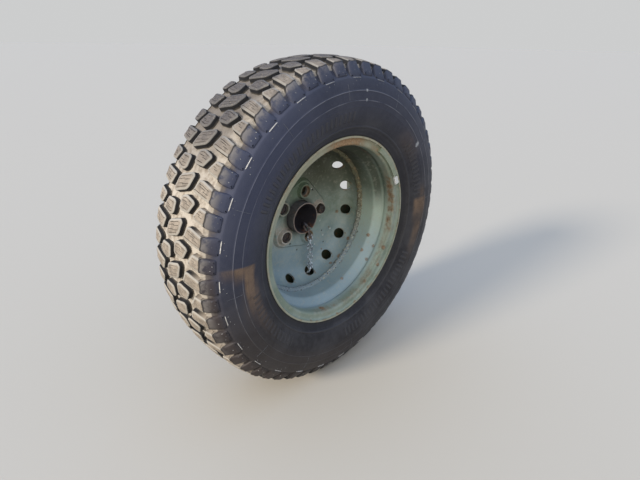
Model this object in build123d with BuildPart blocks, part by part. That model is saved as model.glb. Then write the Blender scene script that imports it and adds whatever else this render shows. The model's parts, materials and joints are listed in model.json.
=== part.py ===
from build123d import *
from math import cos, degrees, radians, sin, sqrt, tan
import os

# Spare wheel on a door carrier, in millimetres.
# The wheel's axis is the Y axis, +Y points at the door and +Z up.
# The origin is on that axis, in the plane of the carrier's feet on the door.
# Depths along the axis are counted from the rim's near lip, the edge that faces away from the door.
# Angles are seen from the open side of the wheel, from +X towards +Z.

# Rim: 5.5 inches wide between its flanges, for a 16 inch tyre
LIP_TO_DOOR = 212.0
RIM_SHEET = 4.0
RIM_INSIDE_WIDTH = 139.7
FLANGE_DEPTH = 11.0
LIP_R = 220.5
SEAT_R = 203.0
WELL_R = 182.8
WELL_START = 60.0
WELL_END = 119.0
WELL_SLOPE_LENGTH = 14.0
HUMP_DEPTH = 40.0
HUMP_HALF_WIDTH = 5.5
HUMP_RISE = 3.0
SEAT_FALL = 1.0
FLANGE_CURL_R = 6.0
BARREL_BEND_R = 6.0
HUMP_TOP_R = 3.0
WELL_BEND_R = 9.0

# Disc: one pressing, dished towards the door
DISC_SHEET = 5.0
DISC_EDGE_DEPTH = 107.0
DISC_SHOULDER_R = 38.0
VALLEY_DEPTH = 157.0
HUB_DEPTH = 150.0
HUB_CORNER_R = 26.0
HUB_SLOPE_DEG = 40.0
HUB_BORE_R = 42.0
BOLT_CIRCLE_R = 65.0
BOLT_COUNT = 5
FIRST_BOLT_DEG = 76.94
BOSS_DEPTH = 142.0
BOSS_SLOPE_DEG = 26.0
BOSS_BASE_R = 21.5
BOLT_POCKET_R = 14.0
BOLT_POCKET_DEPTH = 5.0
BOLT_HOLE_R = 8.5
VENT_COUNT = 15
FIRST_VENT_DEG = 40.07
VENT_R = 14.0
VENT_TILT_DEG = 48.6
SCREW_HOLE_R = 3.0
SCREW_HOLE_CIRCLE_R = 75.0
SCREW_HOLES_DEG = (52.7, -115.5)
CONE_DEG = 45.0

# Tyre
TYRE_OUTER_R = 375.0
TYRE_WIDTH = 208.0
TREAD_WIDTH = 156.0
CROWN_WIDTH = 66.0
SHOULDER_DROP = 8.0
WIDEST_R = 292.0
LOWER_SIDE_R = 255.0
LOWER_SIDE_INSET = 5.65
SIDE_WALL = 10.0
TREAD_WALL = 28.0
CAVITY_WIDTH = 133.7
BEAD_WIDTH = 19.0
BEAD_TAPER = 1.2
BEAD_STAND_OUT = 5.5
GROOVE_DEPTH = 14.5
GROOVE_EDGE_INSET = 6.65
LUG_END_DROP = 37.0
LUG_END_INSET = 8.85
LUG_ROOT = 4.0
FACET_CORNER_SHIFT = 29.6

# Tread: one pitch repeats round the tyre, counted from the middle of a centre block
PITCH_COUNT = 28
FIRST_BLOCK_DEG = 151.95
CENTRE_BLOCK = ((-20.9, 56.5), (8.6, 62.5), (20.9, 105.2), (-8.6, 99.2))
# Rows of the near half: name, corners of the block as (length round the tread, depth)
TREAD_ROWS = (
    ("long lug", ((-6.4, -36.0), (27.1, -36.0), (9.6, 47.0), (-13.9, 38.0))),
    ("short lug", ((-46.5, -36.0), (-16.5, -36.0), (-33.0, 31.0), (-53.0, 19.5))),
    ("second row", ((28.6, 33.5), (49.1, 45.0), (47.6, 73.5), (20.6, 72.0))),
)

# Carrier: a pressed pan with a seat plate, a lock tube and studs
PAN_SHEET = 3.0
SEAT_PLATE = 8.0
SEAT_CENTRE_R = 50.0
SEAT_LUG_R = 15.0
PAN_CENTRE_R = 82.0
PAN_STEP = 6.0
PAN_STEP_R = 92.0
PAN_FLOOR_R = 225.0
PAN_WALL_R = 246.0
PAN_FOOT_R = 266.0
PAN_BENDS_R = (4.0, 6.0, 8.0, 6.0)
FOOT_BOLT_COUNT = 6
FOOT_BOLT_CIRCLE_R = 256.0
FOOT_BOLT_R = 5.5
FOOT_BOLT_DEG = 30.0
WINDOW_INNER_R = 165.0
WINDOW_OUTER_R = 213.0
WINDOW_MIDDLES_DEG = (21.0, 201.0)
WINDOW_HALF_DEG = 14.0
RIB_SHEET = 4.0
RIBS_DEG = (64.0, 124.0, 244.0, 304.0)
RIB_OUTER_R = 195.0
RIB_HEEL = 6.0
RIB_STEP_GAP = 4.0
RIB_CORNER_R = 122.0
RIB_CORNER_DEPTH = 190.0
RIB_END_DEPTH = 198.0

# Lock tube
TUBE_R = 39.9
TUBE_WALL = 2.6
TUBE_MOUTH_DEPTH = 126.0
TUBE_BACK_DEPTH = 200.0
TUBE_FLOOR = 4.0
NOTCH_DEG = -67.5
NOTCH_WIDTH = 17.0
NOTCH_LENGTH = 17.0
NOTCH_CORNER_R = 2.0
LOCK_BOLT_R = 5.0
LOCK_BOLT_HEAD_R = 9.5
LOCK_BOLT_HEAD = 7.0

# Studs and nuts: name, bolt hole counted clockwise from the top, depth of the nut's outer face
STUD_R = 7.0
STUD_HEAD_R = 11.0
STUD_HEAD = 4.0
STUD_END = 2.0
NUT_ACROSS_FLATS = 22.0
NUT_SHOULDER = 4.5
NUTS = (("right", 1, 133.0), ("lower_left", 3, 143.5), ("upper_left", 4, 143.5))

# Valve
VALVE_DEG = 199.0
VALVE_FROM_WELL = 7.2
VALVE_HOLE_R = 5.8
VALVE_HOLE_LENGTH = 18.0
VALVE_ROOT_INSET = 2.0
VALVE_COLLAR_R = 7.0
VALVE_COLLAR = 4.0
VALVE_COLLAR_INSET = 15.5
VALVE_NECK_R = 3.8
VALVE_TIP_DEPTH = 162.0
VALVE_CAP_R = 5.0
VALVE_CAP_TOP = 1.0
VALVE_CAP_LENGTH = 9.0

# Balance weights: name, first and last angle
WEIGHT_THICKNESS = 5.5
WEIGHT_EDGE_R = 1.0
WEIGHTS = (("long", 28.7, 56.3), ("short", 21.8, 27.4))

# Chain
CHAIN_WIRE = 3.2
CHAIN_WIDTH = 15.0
CHAIN_STEPS = 11
CHAIN_VENT = 5
CHAIN_START_R = 29.9
CHAIN_START_DEPTH = 141.0
CHAIN_NOTCH_R = 49.5
CHAIN_NOTCH_DEPTH = 130.5
CHAIN_BEFORE_VENT = 5.5
CHAIN_PAST_VENT = 16.5
TAB_SHEET = 4.0
TAB_HOLE_R = 4.0
TAB_EDGE = 4.0
TAB_CORNER = 0.5
TUBE_TAB_DEPTHS = (144.5, 160.0)
PAN_TAB_FROM_VENT = (8.0, 28.0)

# Clearances
FIT_GAP = 0.3
THREAD_GAP = 0.3
LINK_GAP = 0.9


def at(depth):
    """Row Y of a depth counted from the near lip."""
    return depth - LIP_TO_DOOR


def ring_plane(depth):
    """Plane across the axis at a depth, facing away from the door."""
    return Plane(origin=(0, at(depth), 0), x_dir=(1, 0, 0), z_dir=(0, -1, 0))


def round_point(radius, angle, depth):
    """Point at a radius and an angle about the axis."""
    return Vector(radius * cos(radians(angle)), at(depth), radius * sin(radians(angle)))


def outward(angle):
    """Unit direction away from the axis."""
    return Vector(cos(radians(angle)), 0, sin(radians(angle)))


def around(angle):
    """Unit direction round the axis at an angle."""
    return Vector(-sin(radians(angle)), 0, cos(radians(angle)))


def section_plane(angle):
    """Plane through the axis at an angle, drawn outward in x and along the axis in y."""
    return Plane(origin=(0, 0, 0), x_dir=outward(angle), z_dir=around(angle))


def bolt_deg(place):
    """Angle of a bolt hole counted clockwise from the top one."""
    return FIRST_BOLT_DEG - place * 360.0 / BOLT_COUNT


def save(piece, label):
    """Write one finished piece under its label."""
    piece.part.label = label
    export_step(piece.part, f"parts/{label}.step")


os.makedirs("parts", exist_ok=True)

FAR_LIP = 2 * FLANGE_DEPTH + RIM_INSIDE_WIDTH
TYRE_MIDDLE = FAR_LIP / 2
SEAT_INNER_R = SEAT_R - RIM_SHEET
FLANGE_INNER_DEPTH = FLANGE_DEPTH - RIM_SHEET
LIP_INNER_R = LIP_R - RIM_SHEET
SEAT_END_R = SEAT_INNER_R - SEAT_FALL
VALVE_CIRCLE_R = WELL_R + VALVE_FROM_WELL

# Rim barrel: one rolled sheet, drawn along its inner surface and thickened towards the tyre
with BuildPart() as rim_barrel:
    with BuildSketch(Plane.XY):
        with BuildLine():
            FilletPolyline(
                (LIP_INNER_R, at(0)),
                (LIP_INNER_R, at(FLANGE_INNER_DEPTH)),
                (SEAT_INNER_R, at(FLANGE_INNER_DEPTH)),
                (SEAT_END_R, at(HUMP_DEPTH - HUMP_HALF_WIDTH)),
                (SEAT_END_R + HUMP_RISE, at(HUMP_DEPTH)),
                (SEAT_END_R, at(HUMP_DEPTH + HUMP_HALF_WIDTH)),
                (WELL_R, at(WELL_START)),
                (WELL_R, at(WELL_END)),
                (SEAT_END_R, at(WELL_END + WELL_SLOPE_LENGTH)),
                (SEAT_INNER_R, at(FAR_LIP - FLANGE_INNER_DEPTH)),
                (LIP_INNER_R, at(FAR_LIP - FLANGE_INNER_DEPTH)),
                (LIP_INNER_R, at(FAR_LIP)),
                radius=[
                    FLANGE_CURL_R,
                    BARREL_BEND_R,
                    BARREL_BEND_R,
                    HUMP_TOP_R,
                    BARREL_BEND_R,
                    WELL_BEND_R,
                    WELL_BEND_R,
                    BARREL_BEND_R,
                    BARREL_BEND_R,
                    FLANGE_CURL_R,
                ],
            )
            offset(amount=RIM_SHEET, side=Side.RIGHT)
        make_face()
    revolve(axis=Axis.Y)
    with BuildSketch(ring_plane(WELL_END + FIT_GAP)):
        with PolarLocations(VALVE_CIRCLE_R, 1, start_angle=VALVE_DEG):
            Circle(VALVE_HOLE_R)
    extrude(amount=-VALVE_HOLE_LENGTH, mode=Mode.SUBTRACT)
save(rim_barrel, "rim_barrel")

# Wheel disc: a dished sheet with a raised five-cornered hub, bolt bosses and vents
DISC_R = WELL_R - FIT_GAP
DISC_INNER_R = DISC_R - DISC_SHEET
SHOULDER_CENTRE_R = DISC_INNER_R - DISC_SHOULDER_R
SHOULDER_CENTRE_DEPTH = VALLEY_DEPTH - DISC_SHOULDER_R
HUB_RISE = VALLEY_DEPTH - HUB_DEPTH
HUB_SPREAD = HUB_RISE * tan(radians(HUB_SLOPE_DEG))
vent_circle_r = SHOULDER_CENTRE_R + DISC_SHOULDER_R * sin(radians(VENT_TILT_DEG))
vent_depth = SHOULDER_CENTRE_DEPTH + DISC_SHOULDER_R * cos(radians(VENT_TILT_DEG))
vent_planes = [
    Plane(
        origin=round_point(vent_circle_r, FIRST_VENT_DEG - place * 360 / VENT_COUNT, vent_depth),
        z_dir=outward(FIRST_VENT_DEG - place * 360 / VENT_COUNT) * sin(radians(VENT_TILT_DEG))
        + Vector(0, cos(radians(VENT_TILT_DEG)), 0),
    )
    for place in range(VENT_COUNT)
]
with BuildPart() as wheel_disc:
    with BuildSketch(Plane.XY):
        with BuildLine():
            FilletPolyline(
                (DISC_INNER_R, at(DISC_EDGE_DEPTH)),
                (DISC_INNER_R, at(VALLEY_DEPTH)),
                (HUB_BORE_R, at(VALLEY_DEPTH)),
                radius=DISC_SHOULDER_R,
            )
            offset(amount=DISC_SHEET, side=Side.RIGHT)
        make_face()
    revolve(axis=Axis.Y)
    with BuildSketch(ring_plane(VALLEY_DEPTH)):
        with PolarLocations(BOLT_CIRCLE_R, BOLT_COUNT, start_angle=FIRST_BOLT_DEG):
            Circle(HUB_CORNER_R + HUB_SPREAD)
        make_hull()
    extrude(amount=HUB_RISE, taper=HUB_SLOPE_DEG)
    with BuildSketch(ring_plane(VALLEY_DEPTH + DISC_SHEET)):
        with PolarLocations(BOLT_CIRCLE_R, BOLT_COUNT, start_angle=FIRST_BOLT_DEG):
            Circle(HUB_CORNER_R + HUB_SPREAD - DISC_SHEET)
        make_hull()
    extrude(amount=HUB_RISE, taper=HUB_SLOPE_DEG, mode=Mode.SUBTRACT)
    with BuildSketch(ring_plane(HUB_DEPTH)):
        with PolarLocations(BOLT_CIRCLE_R, BOLT_COUNT, start_angle=FIRST_BOLT_DEG):
            Circle(BOSS_BASE_R)
    extrude(amount=HUB_DEPTH - BOSS_DEPTH, taper=BOSS_SLOPE_DEG)
    with BuildSketch(ring_plane(BOSS_DEPTH)):
        with PolarLocations(BOLT_CIRCLE_R, BOLT_COUNT, start_angle=FIRST_BOLT_DEG):
            Circle(BOLT_POCKET_R)
    extrude(amount=-BOLT_POCKET_DEPTH, mode=Mode.SUBTRACT)
    with BuildSketch(ring_plane(BOSS_DEPTH + BOLT_POCKET_DEPTH)):
        with PolarLocations(BOLT_CIRCLE_R, BOLT_COUNT, start_angle=FIRST_BOLT_DEG):
            Circle(BOLT_POCKET_R)
    extrude(amount=BOLT_HOLE_R - BOLT_POCKET_R, taper=CONE_DEG, mode=Mode.SUBTRACT)
    with BuildSketch(ring_plane(HUB_DEPTH)):
        Circle(HUB_BORE_R)
        with PolarLocations(BOLT_CIRCLE_R, BOLT_COUNT, start_angle=FIRST_BOLT_DEG):
            Circle(BOLT_HOLE_R)
        for angle in SCREW_HOLES_DEG:
            with PolarLocations(SCREW_HOLE_CIRCLE_R, 1, start_angle=angle):
                Circle(SCREW_HOLE_R)
    extrude(amount=2 * DISC_SHEET + HUB_RISE, both=True, mode=Mode.SUBTRACT)
    with BuildSketch(*vent_planes):
        Circle(VENT_R)
    extrude(amount=2 * DISC_SHEET, both=True, mode=Mode.SUBTRACT)
save(wheel_disc, "wheel_disc")

# Tyre: one straight facet for each pitch of the tread, with the outer corners on the true radii
BEAD_DEPTH = FLANGE_DEPTH + FIT_GAP
BEAD_R = SEAT_R + FIT_GAP
BEAD_FACE_R = LIP_R + FIT_GAP
BEAD_TOP_R = LIP_R + BEAD_STAND_OUT
SIDE_DEPTH = TYRE_MIDDLE - TYRE_WIDTH / 2
SHOULDER_DEPTH = TYRE_MIDDLE - TREAD_WIDTH / 2
CROWN_DEPTH = TYRE_MIDDLE - CROWN_WIDTH / 2
CAVITY_DEPTH = TYRE_MIDDLE - CAVITY_WIDTH / 2
PITCH_DEG = 360 / PITCH_COUNT
FACET_CORNER_DEG = FIRST_BLOCK_DEG + degrees(FACET_CORNER_SHIFT / TYRE_OUTER_R)
FACET_DEG = FACET_CORNER_DEG - PITCH_DEG / 2
CORNER_TO_FLAT = cos(radians(PITCH_DEG / 2))
SIDE_FLAT_R = WIDEST_R * CORNER_TO_FLAT
LUG_END_R = (TYRE_OUTER_R - LUG_END_DROP) * CORNER_TO_FLAT
LUG_END_DEPTH = SIDE_DEPTH + LUG_END_INSET
GROOVE_R = (TYRE_OUTER_R - GROOVE_DEPTH) * CORNER_TO_FLAT
GROOVE_EDGE_DEPTH = SHOULDER_DEPTH + GROOVE_EDGE_INSET


def both_halves(points):
    """Points as (radius, depth) on the near half, and the same back along the far half."""
    near = [(radius, at(depth)) for radius, depth in points]
    far = [(radius, at(FAR_LIP - depth)) for radius, depth in points]
    return near + far[::-1]


def tread_plane(angle):
    """Plane on the tread, drawn round it in x and along the axis in y, facing the axis."""
    return Plane(
        origin=outward(angle) * TYRE_OUTER_R + Vector(0, at(0), 0),
        x_dir=around(angle),
        z_dir=outward(angle) * -1,
    )


with BuildLine() as facet_path:
    Polyline(
        outward(FACET_DEG) * (TYRE_OUTER_R * CORNER_TO_FLAT),
        *[outward(FACET_CORNER_DEG + place * PITCH_DEG) * TYRE_OUTER_R for place in range(PITCH_COUNT)],
        close=True,
    )
with BuildPart() as tread_band:
    with BuildSketch(section_plane(FACET_DEG)):
        with BuildLine():
            Polyline(
                *both_halves(
                    [
                        (GROOVE_R - LUG_ROOT, GROOVE_EDGE_DEPTH + LUG_ROOT),
                        (LUG_END_R, LUG_END_DEPTH + LUG_ROOT),
                        (LUG_END_R, LUG_END_DEPTH),
                        ((TYRE_OUTER_R - SHOULDER_DROP) * CORNER_TO_FLAT, SHOULDER_DEPTH),
                        (TYRE_OUTER_R * CORNER_TO_FLAT, CROWN_DEPTH),
                    ]
                ),
                close=True,
            )
        make_face()
    sweep(path=facet_path.wire(), transition=Transition.RIGHT)
near_blocks = [corners for _, corners in TREAD_ROWS]
far_blocks = [[(-length, FAR_LIP - depth) for length, depth in corners] for corners in near_blocks]
with BuildPart() as tread_blocks:
    with BuildSketch(*[tread_plane(FIRST_BLOCK_DEG + place * PITCH_DEG) for place in range(PITCH_COUNT)]):
        for corners in [CENTRE_BLOCK, *near_blocks, *far_blocks]:
            with BuildLine():
                Polyline(*corners, close=True)
            make_face()
    extrude(amount=LUG_END_DROP + TREAD_WALL)
    add(tread_band.part, mode=Mode.INTERSECT)
with BuildPart() as tyre:
    with BuildSketch(section_plane(FACET_DEG)):
        with BuildLine():
            Polyline(
                *both_halves(
                    [
                        (BEAD_R, BEAD_DEPTH + BEAD_WIDTH),
                        (BEAD_R + BEAD_TAPER, BEAD_DEPTH),
                        (BEAD_FACE_R, BEAD_DEPTH),
                        (BEAD_TOP_R, 0),
                        (LOWER_SIDE_R * CORNER_TO_FLAT, SIDE_DEPTH + LOWER_SIDE_INSET),
                        (SIDE_FLAT_R, SIDE_DEPTH),
                        (LUG_END_R, LUG_END_DEPTH),
                        (GROOVE_R, GROOVE_EDGE_DEPTH),
                    ]
                ),
                *both_halves([(SIDE_FLAT_R, SIDE_DEPTH + SIDE_WALL), (TYRE_OUTER_R - TREAD_WALL, CAVITY_DEPTH)])[::-1],
                close=True,
            )
        make_face()
    sweep(path=facet_path.wire(), transition=Transition.RIGHT)
    add(tread_blocks.part)
save(tyre, "tyre")

# Balance weights on the inner wall of the near flange
WEIGHT_BACK = FLANGE_INNER_DEPTH - FIT_GAP
for name, first, last in WEIGHTS:
    with BuildPart() as weight:
        with BuildSketch(section_plane(first)):
            with BuildLine():
                FilletPolyline(
                    (LIP_INNER_R - FIT_GAP, at(0)),
                    (LIP_INNER_R - FIT_GAP, at(WEIGHT_BACK)),
                    (SEAT_INNER_R + FLANGE_CURL_R, at(WEIGHT_BACK)),
                    (SEAT_INNER_R + FLANGE_CURL_R, at(WEIGHT_BACK - WEIGHT_THICKNESS)),
                    (LIP_INNER_R - WEIGHT_THICKNESS, at(0)),
                    radius=[0, FLANGE_CURL_R + FIT_GAP, WEIGHT_EDGE_R, WEIGHT_EDGE_R, WEIGHT_EDGE_R],
                    close=True,
                )
            make_face()
        revolve(axis=Axis.Y, revolution_arc=first - last)
    save(weight, f"balance_weight_{name}")

# Carrier pan: one pressing with a raised centre, a drum wall and a foot flange on the door
SEAT_DEPTH = HUB_DEPTH + DISC_SHEET
PAN_DEPTH = SEAT_DEPTH + SEAT_PLATE
PAN_FLOOR_DEPTH = PAN_DEPTH + PAN_STEP
FOOT_DEPTH = LIP_TO_DOOR - PAN_SHEET
TUBE_HOLE_R = TUBE_R + FIT_GAP
STUD_HOLE_R = STUD_R + FIT_GAP
STUDS_DEG = [bolt_deg(place) for _, place, _ in NUTS]
WINDOW_MIDDLE_R = (WINDOW_INNER_R + WINDOW_OUTER_R) / 2
with BuildPart() as carrier_pan:
    with BuildSketch(Plane.XY):
        with BuildLine():
            FilletPolyline(
                (TUBE_HOLE_R, at(PAN_DEPTH)),
                (PAN_CENTRE_R, at(PAN_DEPTH)),
                (PAN_STEP_R, at(PAN_FLOOR_DEPTH)),
                (PAN_FLOOR_R, at(PAN_FLOOR_DEPTH)),
                (PAN_WALL_R, at(FOOT_DEPTH)),
                (PAN_FOOT_R, at(FOOT_DEPTH)),
                radius=PAN_BENDS_R,
            )
            offset(amount=PAN_SHEET, side=Side.LEFT)
        make_face()
    revolve(axis=Axis.Y)
    with BuildSketch(ring_plane(PAN_DEPTH)):
        for angle in STUDS_DEG:
            with PolarLocations(BOLT_CIRCLE_R, 1, start_angle=angle):
                Circle(STUD_HOLE_R)
        for angle in WINDOW_MIDDLES_DEG:
            with BuildLine() as window_line:
                CenterArc((0, 0), WINDOW_MIDDLE_R, angle - WINDOW_HALF_DEG, 2 * WINDOW_HALF_DEG)
            SlotArc(window_line.edge(), WINDOW_OUTER_R - WINDOW_INNER_R)
    extrude(amount=-2 * PAN_STEP, mode=Mode.SUBTRACT)
    with BuildSketch(ring_plane(LIP_TO_DOOR)):
        with PolarLocations(FOOT_BOLT_CIRCLE_R, FOOT_BOLT_COUNT, start_angle=FOOT_BOLT_DEG):
            Circle(FOOT_BOLT_R)
    extrude(amount=PAN_SHEET, mode=Mode.SUBTRACT)
save(carrier_pan, "carrier_pan")

# Seat plate between the pan and the disc, under the three studs
with BuildPart() as carrier_seat:
    with BuildSketch(ring_plane(PAN_DEPTH)):
        Circle(SEAT_CENTRE_R)
        for angle in STUDS_DEG:
            with PolarLocations(BOLT_CIRCLE_R, 1, start_angle=angle):
                Circle(SEAT_LUG_R)
        make_hull()
        Circle(TUBE_HOLE_R, mode=Mode.SUBTRACT)
        for angle in STUDS_DEG:
            with PolarLocations(BOLT_CIRCLE_R, 1, start_angle=angle):
                Circle(STUD_HOLE_R, mode=Mode.SUBTRACT)
    extrude(amount=SEAT_PLATE)
save(carrier_seat, "carrier_seat")

# Ribs behind the pan, from the lock tube to the drum wall
RIB_INNER_R = TUBE_HOLE_R + FIT_GAP
RIB_TOP_DEPTH = PAN_DEPTH + PAN_SHEET
RIB_FOOT_DEPTH = PAN_FLOOR_DEPTH + PAN_SHEET
for number, angle in enumerate(RIBS_DEG, start=1):
    with BuildPart() as carrier_rib:
        with BuildSketch(section_plane(angle)):
            with BuildLine():
                Polyline(
                    (RIB_INNER_R, at(RIB_TOP_DEPTH)),
                    (PAN_CENTRE_R - RIB_STEP_GAP, at(RIB_TOP_DEPTH)),
                    (PAN_STEP_R - RIB_STEP_GAP, at(RIB_FOOT_DEPTH)),
                    (RIB_OUTER_R, at(RIB_FOOT_DEPTH)),
                    (RIB_OUTER_R, at(RIB_FOOT_DEPTH + RIB_HEEL)),
                    (RIB_CORNER_R, at(RIB_CORNER_DEPTH)),
                    (RIB_INNER_R, at(RIB_END_DEPTH)),
                    close=True,
                )
            make_face()
        extrude(amount=RIB_SHEET / 2, both=True)
    save(carrier_rib, f"carrier_rib_{number}")

# Lock tube with a notch in its mouth for the chain, its floor and the bolt in it
notch_plane = Plane(
    origin=(0, at(TUBE_MOUTH_DEPTH), 0), x_dir=(0, 1, 0), z_dir=outward(NOTCH_DEG)
)
with BuildPart() as lock_tube:
    with BuildSketch(ring_plane(TUBE_BACK_DEPTH)):
        Circle(TUBE_R)
        Circle(TUBE_R - TUBE_WALL, mode=Mode.SUBTRACT)
    extrude(amount=TUBE_BACK_DEPTH - TUBE_MOUTH_DEPTH)
    with BuildSketch(notch_plane) as notch:
        Rectangle(2 * NOTCH_LENGTH, NOTCH_WIDTH)
        fillet(notch.vertices(), NOTCH_CORNER_R)
    extrude(amount=TUBE_R + NOTCH_WIDTH, mode=Mode.SUBTRACT)
save(lock_tube, "lock_tube")

FLOOR_DEPTH = TUBE_BACK_DEPTH - TUBE_FLOOR
with BuildPart() as tube_floor:
    with BuildSketch(ring_plane(TUBE_BACK_DEPTH)):
        Circle(TUBE_R - TUBE_WALL - FIT_GAP)
        Circle(LOCK_BOLT_R + FIT_GAP, mode=Mode.SUBTRACT)
    extrude(amount=TUBE_FLOOR)
save(tube_floor, "tube_floor")

with BuildPart() as lock_bolt:
    with BuildSketch(ring_plane(FLOOR_DEPTH)):
        RegularPolygon(LOCK_BOLT_HEAD_R, 6, major_radius=False)
    extrude(amount=LOCK_BOLT_HEAD)
    with BuildSketch(ring_plane(TUBE_BACK_DEPTH + LOCK_BOLT_R)):
        Circle(LOCK_BOLT_R)
    extrude(amount=TUBE_FLOOR + LOCK_BOLT_R)
save(lock_bolt, "lock_bolt")

# Studs with their heads behind the pan, and the nuts that hold the disc
HEAD_DEPTH = PAN_DEPTH + PAN_SHEET
POCKET_DEPTH = BOSS_DEPTH + BOLT_POCKET_DEPTH
CONE_LENGTH = BOLT_POCKET_R - BOLT_HOLE_R
for name, place, nut_depth in NUTS:
    with BuildPart() as stud:
        with BuildSketch(ring_plane(HEAD_DEPTH + STUD_HEAD)):
            with PolarLocations(BOLT_CIRCLE_R, 1, start_angle=bolt_deg(place)):
                Circle(STUD_HEAD_R)
        extrude(amount=STUD_HEAD)
        with BuildSketch(ring_plane(HEAD_DEPTH)):
            with PolarLocations(BOLT_CIRCLE_R, 1, start_angle=bolt_deg(place)):
                Circle(STUD_R)
        extrude(amount=HEAD_DEPTH - nut_depth - STUD_END)
    save(stud, f"stud_{name}")
    with BuildPart() as nut:
        with BuildSketch(ring_plane(POCKET_DEPTH)):
            with PolarLocations(BOLT_CIRCLE_R, 1, start_angle=bolt_deg(place)):
                RegularPolygon(NUT_ACROSS_FLATS / 2, 6, major_radius=False)
        extrude(amount=POCKET_DEPTH - nut_depth)
        with BuildSketch(ring_plane(POCKET_DEPTH - FIT_GAP)):
            with PolarLocations(BOLT_CIRCLE_R, 1, start_angle=bolt_deg(place)):
                Circle(BOLT_POCKET_R - FIT_GAP)
        extrude(amount=-CONE_LENGTH, taper=CONE_DEG)
        with BuildSketch(ring_plane(SEAT_DEPTH)):
            with PolarLocations(BOLT_CIRCLE_R, 1, start_angle=bolt_deg(place)):
                Circle(STUD_R + THREAD_GAP)
        extrude(amount=SEAT_DEPTH - nut_depth, mode=Mode.SUBTRACT)
    save(nut, f"nut_{name}")

# Valve on the door side of the barrel, turned about a line beside the wheel's axis
valve_line = Axis(round_point(VALVE_CIRCLE_R, VALVE_DEG, 0), (0, 1, 0))
VALVE_BODY_R = VALVE_HOLE_R - FIT_GAP
VALVE_ROOT_DEPTH = WELL_END + VALVE_ROOT_INSET
VALVE_COLLAR_DEPTH = WELL_END + VALVE_COLLAR_INSET
VALVE_NECK_DEPTH = VALVE_TIP_DEPTH - VALVE_CAP_LENGTH
VALVE_END_DEPTH = VALVE_TIP_DEPTH - VALVE_CAP_TOP
with BuildPart() as valve_stem:
    with BuildSketch(section_plane(VALVE_DEG)):
        with BuildLine():
            Polyline(
                (VALVE_CIRCLE_R, at(VALVE_ROOT_DEPTH)),
                (VALVE_CIRCLE_R + VALVE_BODY_R, at(VALVE_ROOT_DEPTH)),
                (VALVE_CIRCLE_R + VALVE_BODY_R, at(VALVE_COLLAR_DEPTH)),
                (VALVE_CIRCLE_R + VALVE_COLLAR_R, at(VALVE_COLLAR_DEPTH)),
                (VALVE_CIRCLE_R + VALVE_COLLAR_R, at(VALVE_COLLAR_DEPTH + VALVE_COLLAR)),
                (VALVE_CIRCLE_R + VALVE_CAP_R, at(VALVE_NECK_DEPTH)),
                (VALVE_CIRCLE_R + VALVE_NECK_R, at(VALVE_NECK_DEPTH)),
                (VALVE_CIRCLE_R + VALVE_NECK_R, at(VALVE_END_DEPTH)),
                (VALVE_CIRCLE_R, at(VALVE_END_DEPTH)),
                close=True,
            )
        make_face()
    revolve(axis=valve_line)
save(valve_stem, "valve_stem")

with BuildPart() as valve_cap:
    with BuildSketch(section_plane(VALVE_DEG)):
        with BuildLine():
            Polyline(
                (VALVE_CIRCLE_R, at(VALVE_TIP_DEPTH)),
                (VALVE_CIRCLE_R + VALVE_CAP_R, at(VALVE_TIP_DEPTH)),
                (VALVE_CIRCLE_R + VALVE_CAP_R, at(VALVE_NECK_DEPTH)),
                (VALVE_CIRCLE_R + VALVE_NECK_R + FIT_GAP, at(VALVE_NECK_DEPTH)),
                (VALVE_CIRCLE_R + VALVE_NECK_R + FIT_GAP, at(VALVE_END_DEPTH)),
                (VALVE_CIRCLE_R, at(VALVE_END_DEPTH)),
                close=True,
            )
        make_face()
    revolve(axis=valve_line)
save(valve_cap, "valve_cap")

# Chain: out of the tube through its notch, down the disc and through a vent to the pan
vent_deg = FIRST_VENT_DEG - CHAIN_VENT * 360 / VENT_COUNT
into_vent = outward(vent_deg) * sin(radians(VENT_TILT_DEG))
into_vent += Vector(0, cos(radians(VENT_TILT_DEG)), 0)
vent_point = round_point(vent_circle_r, vent_deg, vent_depth)
route = [
    round_point(CHAIN_START_R, NOTCH_DEG, CHAIN_START_DEPTH),
    round_point(CHAIN_NOTCH_R, NOTCH_DEG, CHAIN_NOTCH_DEPTH),
    vent_point - into_vent * CHAIN_BEFORE_VENT,
    vent_point + into_vent * CHAIN_PAST_VENT,
]
runs = [(end - start).length for start, end in zip(route, route[1:])]
chain_step = sum(runs) / CHAIN_STEPS


def chain_point(distance):
    """Point of the chain's route at a distance from its start."""
    for start, end, run in zip(route, route[1:], runs):
        if distance <= run + FIT_GAP:
            return start + (end - start) * (distance / run)
        distance -= run
    return route[-1]


links = []
for number in range(CHAIN_STEPS):
    start = chain_point(number * chain_step)
    end = chain_point((number + 1) * chain_step)
    along = (end - start).normalized()
    flat = along.cross(around(NOTCH_DEG if number == 0 else vent_deg)).normalized()
    if number % 2:
        flat = along.cross(flat).normalized()
    window = (end - start).length + LINK_GAP
    with BuildPart() as link:
        with BuildSketch(Plane(origin=(start + end) / 2, x_dir=along, z_dir=flat)):
            Rectangle(window + 2 * CHAIN_WIRE, CHAIN_WIDTH)
            Rectangle(window, CHAIN_WIDTH - 2 * CHAIN_WIRE, mode=Mode.SUBTRACT)
        extrude(amount=CHAIN_WIRE / 2, both=True)
    links.append(link.part)
with BuildPart() as chain:
    add(links)
save(chain, "chain")

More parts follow.
